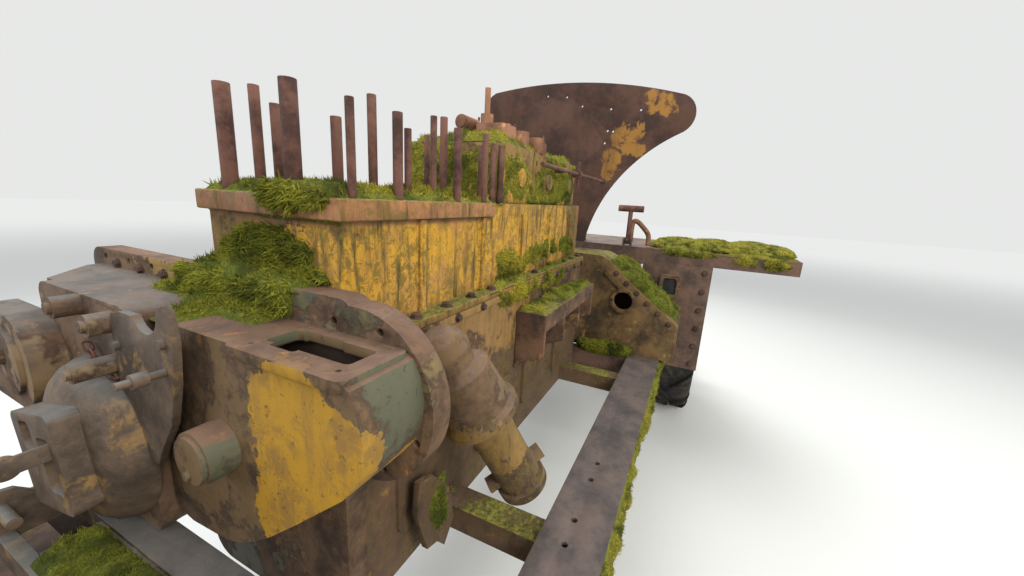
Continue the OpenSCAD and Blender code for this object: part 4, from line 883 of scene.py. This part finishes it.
def moss_patch(name, corner, along, across, out, height, cover=0.55, density=1.0, shoot=1.0, seed=0,
               edge=0.12, hump=0.0, droop=0.0, oval=False):
    """Moss cushion on a four-sided face: face point + out x thickness, the thickness being lumps
    that fade towards the edges, or towards a lumpy ellipse in them, and a hump in the middle. A
    second sheet under the face closes it."""
    moss = bpy.context.scene.skidder_moss
    seed += moss.seed
    corner, along, across, out = (np.array(v, float) for v in (corner, along, across, out))
    out /= np.linalg.norm(out)
    long, wide = np.linalg.norm(along), np.linalg.norm(across)
    rows, columns = max(5, int(long / moss.cell)), max(5, int(wide / moss.cell))
    u, v = np.meshgrid(np.linspace(0, 1, rows), np.linspace(0, 1, columns), indexing="ij")
    x, y = u * long, v * wide
    rim = np.minimum(np.minimum(x, long - x), np.minimum(y, wide - y)) / (edge * min(long, wide) + 1e-9)
    if oval:
        inside = 0.94 - np.hypot(2 * u - 1, 2 * v - 1) + 0.3 * lumps(x * 11, y * 11, seed + 50)
        rim = np.minimum(rim, inside / edge)
    fade = np.clip(rim, 0, 1) ** 0.6
    field = lumps(x * 9, y * 9, seed) * 0.5 + 0.5 + lumps(x * 40, y * 40, seed + 9, 3) * 0.16
    thick = (field - (1 - cover)) / cover * fade - (1 - fade) * 0.25
    rise = np.where(thick > 0, np.abs(thick) ** 0.55, thick) * height
    swell = hump * np.sin(math.pi * u) * np.sin(math.pi * v)
    sunk, under = -0.003, 0.006
    rise = np.maximum(rise + np.where(thick > 0, swell, 0), sunk)
    base = corner + u[..., None] * along + v[..., None] * across
    top = base + out * rise[..., None]
    add_piece("moss_" + name, *closed_sheet(top, base - out * under), "moss cushion", smooth=True)
    rng = np.random.default_rng(seed + 77)
    wanted = int(moss.density * density * long * wide)
    i, j = rng.integers(0, rows - 1, wanted), rng.integers(0, columns - 1, wanted)
    least_rise = 0.0015
    keep = rise[i, j] > least_rise
    i, j = i[keep], j[keep]
    if len(i):
        f, g = rng.uniform(0, 1, (2, len(i), 1))
        place = top[i, j] * (1 - f) * (1 - g) + top[i + 1, j] * f * (1 - g) + top[i, j + 1] * (1 - f) * g \
            + top[i + 1, j + 1] * f * g - out * 0.001
        plant_shoots(name, place, out, moss.shoot * shoot, rng, droop)


def moss_rows():
    """Where moss lies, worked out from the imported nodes: name, corner, along, across, outward, height,
    then the settings that differ."""
    (end, _, _), (_, _, top) = size_of("cylinder_block")
    (face, _, _), (_, _, ridge) = size_of("flange_plate")
    head_low, head = size_of("cylinder_heads")
    head_long = (head[0] - head_low[0], 0, 0)
    gear, cradle = size_of("gearbox")[1][2], size_of("case_cradle")[0][0]
    slope = (-1, 0, 0.5)
    return [
        ("block_top", (end + 0.02, -0.262, top), (0.8, 0, 0), (0, 0.524, 0), UP, 0.04,
         dict(seed=1, cover=0.7, edge=0.06, shoot=1.4, density=2.0)),
        ("lip_drape", (end + 0.005, -0.266, top - 0.055), (0, 0.3, 0), (0, 0, 0.09), slope, 0.038,
         dict(seed=21, cover=0.78, shoot=1.9, droop=1.1, edge=0.3, density=3.0, oval=True)),
        ("head_tops", (head_low[0], -0.22, head[2]), head_long, (0, 0.44, 0), UP, 0.05,
         dict(seed=2, cover=0.75, edge=0.06, shoot=1.2, density=1.3)),
        ("head_side", (head_low[0], -0.231, top), head_long, (0, 0, 0.24), RIGHT, 0.035,
         dict(seed=3, cover=0.56, droop=0.4, density=1.3)),
        ("head_rear", (head_low[0] - 0.001, -0.22, top), (0, 0.44, 0), (0, 0, 0.24), BACK, 0.035,
         dict(seed=4, cover=0.66, droop=0.4, density=1.3)),
        ("block_side", (-0.52, -0.251, 1.65), (1.16, 0, 0), (0, 0, 0.16), (0, -1, 0.2), 0.032,
         dict(seed=5, shoot=1.5, droop=0.6, edge=0.6, density=2.4)),
        ("ridge_ledge", (face - 0.004, -0.18, ridge - 0.004), (0.066, 0, 0), (0, 0.45, 0), UP, 0.03,
         dict(seed=6, cover=0.85, hump=0.03, shoot=1.6, droop=0.2, edge=0.4, density=4.0)),
        ("ridge_face", (face + 0.003, -0.16, ridge - 0.1), (0, 0.46, 0), (0, 0, 0.11), slope, 0.05,
         dict(seed=7, cover=0.75, shoot=1.8, droop=1.0, edge=0.4, density=3.0)),
        ("block_end", (end + 0.023, -0.245, ridge - 0.05), (0, 0.49, 0), (0, 0, 0.18), slope, 0.055,
         dict(seed=16, cover=0.8, shoot=1.6, droop=0.5, edge=0.4, density=3.4, oval=True)),
        ("case_join", (-1.41, -0.13, gear - 0.002), (0.085, 0, 0), (0, 0.24, 0), UP, 0.03,
         dict(seed=17, cover=0.72, hump=0.01, shoot=1.5, droop=0.2, edge=0.4, density=3.0)),
        ("case_tail", (-1.49, 0.01, gear - 0.002), (0.14, 0, 0), (0, 0.1, 0), UP, 0.03,
         dict(seed=13, cover=0.7, shoot=1.5, edge=0.4, density=3.0)),
        ("case_top", (-1.41, 0.1, gear + 0.018), (0.08, 0, 0), (0, 0.2, 0), UP, 0.03,
         dict(seed=10, cover=0.75, shoot=1.5, droop=0.2, edge=0.4, density=3.0)),
        ("shelf_top", (-0.37, -0.43, 1.52), (0.82, 0, 0), (0, 0.13, 0), UP, 0.03, dict(seed=8, cover=0.6)),
        ("foot_ledge", (-0.66, -0.312, 1.654), (1.3, 0, 0), (0, 0.06, 0), UP, 0.035,
         dict(seed=9, cover=0.6, shoot=1.3, droop=0.3, edge=0.3, density=1.6)),
        ("foot_drape", (-0.6, -0.292, 1.55), (0.84, 0, 0), (0, -0.016, 0.11), (0, -1, 0.3), 0.035,
         dict(seed=23, cover=0.6, shoot=1.7, droop=1.0, edge=0.5, density=2.4)),
        ("wall_foot", (0.683, -0.69, 0.972), (0, 0.39, 0), (0.078, 0, 0.09), (-0.75, 0, 0.65), 0.05,
         dict(seed=27, cover=0.85, shoot=1.5, droop=0.2, edge=0.35, density=3.0, hump=0.04, oval=True)),
        ("rail_outer", (-2.1, -0.866, 0.815), (3.3, 0, 0), (0, 0, 0.17), RIGHT, 0.04,
         dict(seed=12, cover=0.6, density=0.8)),
        ("rail_inner", (-1.6, -0.764, 0.86), (2.4, 0, 0), (0, 0, 0.12), (0, 1, 0), 0.02,
         dict(seed=18, cover=0.45, density=0.6)),
        ("rail_left_top", (-2.2, 0.68, 1.0), (2.9, 0, 0), (0, 0.17, 0), UP, 0.03,
         dict(seed=14, cover=0.42, density=0.4)),
        ("cradle", (cradle + 0.005, -0.1, 1.118), (0.13, 0, 0), (0, 0.4, 0), UP, 0.045,
         dict(seed=15, cover=0.7)),
        ("broken_bracket", (-1.1, -0.369, 0.96), (0.115, 0, 0), (-0.02, 0, 0.2), RIGHT, 0.03,
         dict(seed=19, cover=0.7, droop=0.4, edge=0.4, density=2.0, oval=True)),
        ("deck_edge", (1.298, -1.63, 1.688), (0.07, 0, 0), (0, 0.89, 0), UP, 0.035,
         dict(seed=24, cover=0.66, edge=0.35, density=1.5)),
        ("deck_drape", (1.302, -1.632, 1.6), (0, 0.45, 0), (0, 0, 0.1), (-1, 0, 0.4), 0.03,
         dict(seed=25, cover=0.7, droop=0.8, shoot=1.3, edge=0.4, density=2.4, oval=True)),
        ("deck_drape_inner", (1.302, -1.16, 1.64), (0, 0.42, 0), (0, 0, 0.055), (-1, 0, 0.4), 0.025,
         dict(seed=26, cover=0.7, droop=0.8, shoot=1.3, edge=0.4, density=2.4, oval=True)),
        ("housing_right", (0.77, -0.466, 1.63), (0.32, 0, 0), (0, -0.459, -0.364), (0, -0.62, 0.78), 0.06,
         dict(seed=20, cover=0.75, edge=0.06, hump=0.025, density=1.4)),
        ("housing_left", (0.77, 0.5, 1.6), (0.32, 0, 0), (0, 0.42, -0.33), (0, 0.62, 0.78), 0.03,
         dict(seed=22, cover=0.5, density=0.5)),
    ]


class SKIDDER_OT_moss(bpy.types.Operator):
    """Grows moss cushions and shoots on the block, heads, gear case, rails and deck"""
    bl_idname = "skidder.moss"
    bl_label = "Moss"

    def execute(self, context):
        for *place, more in moss_rows():
            moss_patch(*place, **more)
        self.tufts_on("moss_mats", context.scene.skidder_moss)
        return {"FINISHED"}

    def tufts_on(self, node, moss):
        """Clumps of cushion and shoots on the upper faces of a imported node, spread by their area and
        kept inside the part's width."""
        mesh = frame["nodes"][node].data
        mesh.calc_loop_triangles()
        corners = np.zeros(len(mesh.loop_triangles) * 3, int)
        mesh.loop_triangles.foreach_get("vertices", corners)
        points = np.zeros(len(mesh.vertices) * 3)
        mesh.vertices.foreach_get("co", points)
        a, b, c = np.moveaxis(points.reshape(-1, 3)[corners.reshape(-1, 3)], 1, 0)
        normal = np.cross(b - a, c - a)
        area = np.linalg.norm(normal, axis=1) / 2
        normal /= 2 * area[:, None] + 1e-12
        area = np.where(normal[:, 2] > 0.1, area, 0)
        rng = np.random.default_rng(moss.seed + 40)
        tufts, outer, shoot_reach = 1400, CAD_BOX[1][1], 0.016

        def spread(count):
            chosen = rng.choice(len(area), count, p=area / area.sum())
            u, v = rng.uniform(0, 1, (2, count, 1))
            fold = u + v > 1
            u, v = np.where(fold, 1 - u, u), np.where(fold, 1 - v, v)
            return a[chosen] + (b - a)[chosen] * u + (c - a)[chosen] * v, normal[chosen]

        dome = revolve([(0, 0.55), (0.5, 0.45), (0.86, 0.2), (1.0, -0.15), (0, -0.3)], 9)
        places, out = spread(tufts)
        size = rng.uniform(0.012, 0.034, tufts)
        keep = np.abs(places[:, 1]) + size < outer
        shape = stamp(dome, places[keep], frame_along(out[keep]), size[keep])
        add_piece("tufts_" + node, *shape, "moss cushion", smooth=True)
        places, out = spread(int(area.sum() * moss.density * 0.8))
        field = lumps(places[:, 0] * 12, places[:, 1] * 12, moss.seed + 41)
        keep = (field > -0.55) & (np.abs(places[:, 1]) < outer - shoot_reach)
        plant_shoots(node, places[keep] + out[keep] * 0.006, out[keep], moss.shoot * 1.1, rng)


# Bolts

# Rows of bolts on both sides: name, first and last place and direction for the left side, count, share
# of the head's radius, seed
ENGINE_BOLTS = [("foot", (-1.2, 0.285, 1.656), (0.6, 0.285, 1.656), UP, 13, 1.1, 1),
                ("flange", (-1.2, 0.312, 1.616), (0.6, 0.312, 1.616), (0, 1, 0), 12, 0.9, 2),
                ("shoulder", (0.76, 0.52, 1.55), (0.76, 0.89, 1.255), BACK, 6, 1.0, 6)]
POST_BOLTS = [("post", (1.3, 1.07, 0.82), (1.3, 1.07, 1.54), BACK, 6, 1.2, 8)]


def bolt_shape():
    """Hexagon head of radius 1 on a round washer: two outlines turned about Z."""
    head = revolve([(0, 0.1), (1.0, 0.1), (1.0, 0.75), (0.82, 0.95), (0, 0.95)], 6)
    washer = revolve([(0, 0.0), (1.35, 0.0), (1.3, 0.16), (0, 0.16)], 12)
    return join([head, washer])


def add_bolts(name, places, direction, radius, body=ROOT, seed=5):
    """Bolt heads at a list of places, each turned at random about its axis."""
    places = np.asarray(places, float).reshape(-1, 3)
    turn = np.random.default_rng(seed).uniform(0, 1.05, len(places))
    direction = np.broadcast_to(np.asarray(direction, float), places.shape)
    shape = stamp(bolt_shape(), places, frame_along(direction, turn), radius)
    add_piece(name, *shape, "bolt rust", "dark_rust_plate", body)


def circle_of(centre, radius, count, normal, first=0.0):
    """Places round a circle about a normal, from a first angle in degrees."""
    angle = np.radians(np.arange(count) * 360 / count + first)
    flat = np.stack([np.cos(angle), np.sin(angle), 0 * angle], 1) * radius
    return flat @ frame_along(normal)[0].T + np.asarray(centre, float)


class SKIDDER_OT_bolts(bpy.types.Operator):
    """Puts bolt heads on flanges, covers, plates and wheels"""
    bl_idname = "skidder.bolts"
    bl_label = "Bolts"

    def execute(self, context):
        sizes = context.scene.skidder_bolts
        self.both_sides(ENGINE_BOLTS, sizes.head)
        add_bolts("bolts_hand_hole", circle_of((0.744, -0.585, 1.368), 0.073, 6, BACK), BACK,
                  sizes.head * 0.6, seed=7)
        add_bolts("bolts_ridge", [(-1.33, y, 1.735) for y in (0.15, 0.27, 0.39, 0.52, 0.66)], BACK,
                  sizes.head * 0.9, seed=3)
        self.both_sides(POST_BOLTS, sizes.head)
        for node in ("rim_rear_left", "rim_rear_right", "rim_front_left", "rim_front_right"):
            self.wheel_nuts(node, sizes.nut)
        return {"FINISHED"}

    def both_sides(self, rows, radius):
        """Rows of bolts on the right and then, mirrored, on the left."""
        for side, label in ((-1, "right"), (1, "left")):
            for name, first, last, direction, count, share, seed in rows:
                first, last, direction = (np.array(v) * [1.0, side, 1.0] for v in (first, last, direction))
                add_bolts(f"bolts_{name}_{label}", np.linspace(first, last, count), direction,
                          radius * share, seed=seed)

    def wheel_nuts(self, node, radius):
        """Eight nuts on a ring round the hub, on the wheel's outer side."""
        inset, raised, ring = 0.148, 0.008, 0.145
        low, high = size_of(node)
        x, y, z = (low + high) / 2
        side = 1 if y > 0 else -1
        track = high[1] - inset if side > 0 else low[1] + inset
        places = circle_of((x, track + side * raised, z), ring, 8, (0, side, 0), 22.5)
        add_bolts("nuts_" + node[4:], places, (0, side, 0), radius, body_of(node))


# Tyres

WHEEL_RADIUS = 0.64
# Right half of the carcass outline from bead to crown, as (radius, half width) pairs
CARCASS = np.array([(0.311, 0.124), (0.326, 0.138), (0.336, 0.15), (0.35, 0.158), (0.39, 0.167), (0.44, 0.17),
                    (0.49, 0.169), (0.54, 0.163), (0.573, 0.152), (0.59, 0.134), (0.598, 0.1), (0.602, 0.05),
                    (0.603, 0.0)])


def lug_sweep(side):
    """One lug: a six-cornered section carried from the crown out over the shoulder.

    The path goes outward by t, back by an angle that grows with t, and follows the carcass."""
    inner, long, toe, sweep, foot = 0.004, 0.164, 0.545, 0.62, 0.62
    shoulder = CARCASS[:6:-1]
    t = np.linspace(0, 1, 8)
    half = inner + long * np.minimum(t * 1.08, 1.0)
    radius = np.where(t > 0.93, toe, np.interp(half, shoulder[:, 1], shoulder[:, 0]))
    angle = sweep * (t - 0.5) * 0.46
    tall = np.interp(t, [0, 0.1, 0.75, 0.9, 1.0], [0.030, 0.036, 0.037, 0.03, 0.008])
    width = np.interp(t, [0, 0.2, 1.0], [0.036, 0.042, 0.05])
    points = []
    for w, h in ((-foot, -0.012), (-0.5, 0.8), (-0.42, 1.0), (0.42, 1.0), (0.5, 0.8), (foot, -0.012)):
        raised = radius + np.where(h < 0, h, h * tall)
        at = angle + w * width / foot
        points.append(np.stack([raised * np.cos(at), raised * np.sin(at), side * half], 1))
    grid = np.stack(points, 1)
    reach = WHEEL_RADIUS - 0.0002
    grid[..., 0:2] *= np.minimum(1, reach / np.linalg.norm(grid[..., 0:2], axis=2))[..., None]
    count = grid.shape[1]
    corners = np.arange(count)[None, :]
    faces = [grid_faces(len(t), count, True), corners, (corners + (len(t) - 1) * count)[:, ::-1]]
    return grid.reshape(-1, 3), [block[:, ::-1] for block in faces] if side > 0 else faces


class SKIDDER_OT_tyres(bpy.types.Operator):
    """Replaces the plain tyres by carcasses with curved lugs"""
    bl_idname = "skidder.tyres"
    bl_label = "Tyres"

    def execute(self, context):
        sizes = context.scene.skidder_tyres
        steps, inwards = sizes.steps, 0.02
        outline = np.concatenate([CARCASS * [1, -1], CARCASS[-2::-1]])
        loop = np.concatenate([outline, outline[-1:] - [0, inwards], outline[:1] + [0, inwards]])
        angle = whole_turn(steps)
        ring = np.stack([np.outer(np.cos(angle), loop[:, 0]), np.outer(np.sin(angle), loop[:, 0]),
                         np.broadcast_to(loop[:, 1], (steps, len(loop)))], 2)
        parts = [(ring.reshape(-1, 3), [grid_faces(steps, len(loop), True, True)])]
        for side in (-1, 1):
            turn = (np.arange(sizes.lug_count) + (0.5 if side > 0 else 0)) * 2 * math.pi / sizes.lug_count
            c, s, o = np.cos(turn), np.sin(turn), np.zeros(len(turn))
            spin = np.stack([np.stack([c, -s, o], 1), np.stack([s, c, o], 1), np.stack([o, o, o + 1], 1)], 1)
            parts.append(stamp(lug_sweep(side), np.zeros((len(turn), 3)), spin))
        local, faces = join(parts)
        for node in ("tyre_rear_left", "tyre_rear_right", "tyre_front_left", "tyre_front_right"):
            low, high = size_of(node)
            centre = (low + high) / 2
            centre[2] = WHEEL_RADIUS
            side = 1 if centre[1] > 0 else -1
            turned = np.stack([local[:, 1] * side, local[:, 2] * side, local[:, 0] * -1], 1)
            piece = add_piece(node + "_lugged", turned + centre, faces, "tyre rubber", "old_tyre",
                              body_of(node))
            fix_normals(piece)
            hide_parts(node)
        return {"FINISHED"}


# Small fittings on the engine and deck

def chain_link(length, width, wire):
    """One chain link: a round wire along a stadium, which is two half circles joined by straights."""
    half = length / 2 - width / 2
    angle = np.linspace(-math.pi / 2, math.pi / 2, 6)
    cap = np.stack([half + np.cos(angle) * width / 2, np.sin(angle) * width / 2, 0 * angle], 1)
    path = np.concatenate([cap, -cap])
    sideways = np.cross(np.roll(path, -1, 0) - np.roll(path, 1, 0), UP)
    sideways /= np.linalg.norm(sideways, axis=1)[:, None]
    turn = whole_turn(6)[None, :, None]
    ring = path[:, None] + (sideways[:, None] * np.cos(turn) + np.array(UP) * np.sin(turn)) * wire
    return ring.reshape(-1, 3), [grid_faces(*ring.shape[:2], True, True)]


class SKIDDER_OT_fittings(bpy.types.Operator):
    """Adds the rods, pipe, chain and port frame on the heads, gear case, deck and bulkhead"""
    bl_idname = "skidder.fittings"
    bl_label = "Fittings"

    def execute(self, context):
        top = size_of("cylinder_heads")[1][2]
        rods = [tube([(x, y, top - 0.01), (x + lean * length, y, top + length)], 0.006, 8)
                for x, y, lean, length in ((-0.1, 0.1, 0.1, 0.17), (0.02, -0.06, -0.12, 0.15),
                                           (0.16, -0.05, 0.05, 0.12), (0.26, 0.1, 0.2, 0.16),
                                           (0.34, -0.1, -0.08, 0.13), (0.44, -0.04, 0.12, 0.17))]
        add_piece("valve_rods", *join(rods), "stud rust", "dark_rust_plate")
        bends = [(-0.5, 1.72), (-0.502, 1.86), (-0.53, 1.885), (-0.585, 1.842), (-0.631, 1.783),
                 (-0.637, 1.703)]
        pipe = tube(curve_through([(1.345, y, z) for y, z in bends], 30), 0.019, 12)
        add_piece("deck_pipe", *pipe, "orange rust", "orange_rust", smooth=True)
        self.slack_chain()
        self.port_frame()
        return {"FINISHED"}

    def slack_chain(self):
        """A short chain hanging in a shallow curve between the boss and the bracket plate."""
        start, end = np.array([-1.535, 0.311, 1.611]), np.array([-1.535, 0.165, 1.558])
        links, sag = 9, 0.12
        t = (np.arange(links) + 0.5)[:, None] / links
        places = start + (end - start) * t - np.array([0, 0, sag]) * t * (1 - t)
        turn = frame_along(np.gradient(places, axis=0))
        turn = np.stack([turn[:, :, 2], turn[:, :, 0], turn[:, :, 1]], 2)
        turn[1::2] = np.stack([turn[1::2, :, 0], turn[1::2, :, 2], -turn[1::2, :, 1]], 2)
        shape = stamp(chain_link(0.028, 0.016, 0.0028), places, turn)
        add_piece("slack_chain", *shape, "stud rust", "dark_rust_plate", smooth=True)

    def port_frame(self):
        """Flanged frame on the bulkhead and a black sheet inside it, which is painted shade for the port's
        recess:
        rounded rectangles of (distance out, half width, half height), one after the other."""
        steps, y, z = 40, -0.84, 1.41
        angle = np.linspace(0, 2 * math.pi, steps + 1)[:-1]
        across, up = (np.sign(s) * np.abs(s) ** 0.35 for s in (np.cos(angle), np.sin(angle)))
        face = size_of("bulkhead")[0][0]
        flange = [(-0.002, 0.078, 0.092), (0.012, 0.078, 0.092), (0.016, 0.074, 0.088), (0.016, 0.05, 0.064),
                  (-0.002, 0.048, 0.062), (-0.002, 0.078, 0.092)]
        # Black sheet just in front of the bulkhead: painted shade where the port's recess would be.
        shade_sheet = [(-0.001, 0, 0), (-0.001, 0.048, 0.062), (0.003, 0.048, 0.062), (0.003, 0, 0)]
        for name, rings, finish, slot in (("port_frame", flange, "pump paint", "faded_paint"),
                                          ("port_shade_sheet", shade_sheet, "black grip", "black_rim")):
            points = [np.stack([np.full(steps, face - out), y + across * half_y, z + up * half_z], 1)
                      for out, half_y, half_z in rings]
            fix_normals(add_piece(name, np.concatenate(points), [grid_faces(len(rings), steps, True)], finish,
                                  slot))


class SKIDDER_PT_panel(bpy.types.Panel):
    """Lists the steps and their sizes"""
    bl_idname = "SKIDDER_PT_panel"
    bl_label = "Skidder"
    bl_space_type = "VIEW_3D"
    bl_region_type = "UI"
    bl_category = "Skidder"

    def draw(self, context):
        for operator in OPERATORS:
            self.layout.operator(operator.bl_idname)
        for name in PROPERTIES:
            group_of = getattr(context.scene, name)
            box = self.layout.box()
            for key in group_of.__annotations__:
                box.prop(group_of, key)


PROPERTIES = {"skidder_stage": SkidderStage, "skidder_paint": SkidderPaint, "skidder_moss": SkidderMoss,
              "skidder_bolts": SkidderBolts, "skidder_tyres": SkidderTyres}
OPERATORS = [SKIDDER_OT_stage, SKIDDER_OT_finishes, SKIDDER_OT_castings, SKIDDER_OT_tyres, SKIDDER_OT_bolts,
             SKIDDER_OT_fittings, SKIDDER_OT_moss]


def register():
    """Registers the property groups, operators and panel."""
    for made in (*PROPERTIES.values(), *OPERATORS, SKIDDER_PT_panel):
        bpy.utils.register_class(made)
    for name, made in PROPERTIES.items():
        setattr(bpy.types.Scene, name, PointerProperty(type=made))


def unregister():
    """Takes everything off again."""
    for name in PROPERTIES:
        delattr(bpy.types.Scene, name)
    for made in (SKIDDER_PT_panel, *reversed(OPERATORS), *PROPERTIES.values()):
        bpy.utils.unregister_class(made)


def main():
    """Runs every step in order."""
    register()
    for operator in OPERATORS:
        area, verb = operator.bl_idname.split(".")
        getattr(getattr(bpy.ops, area), verb)()


if __name__ == "__main__":
    main()
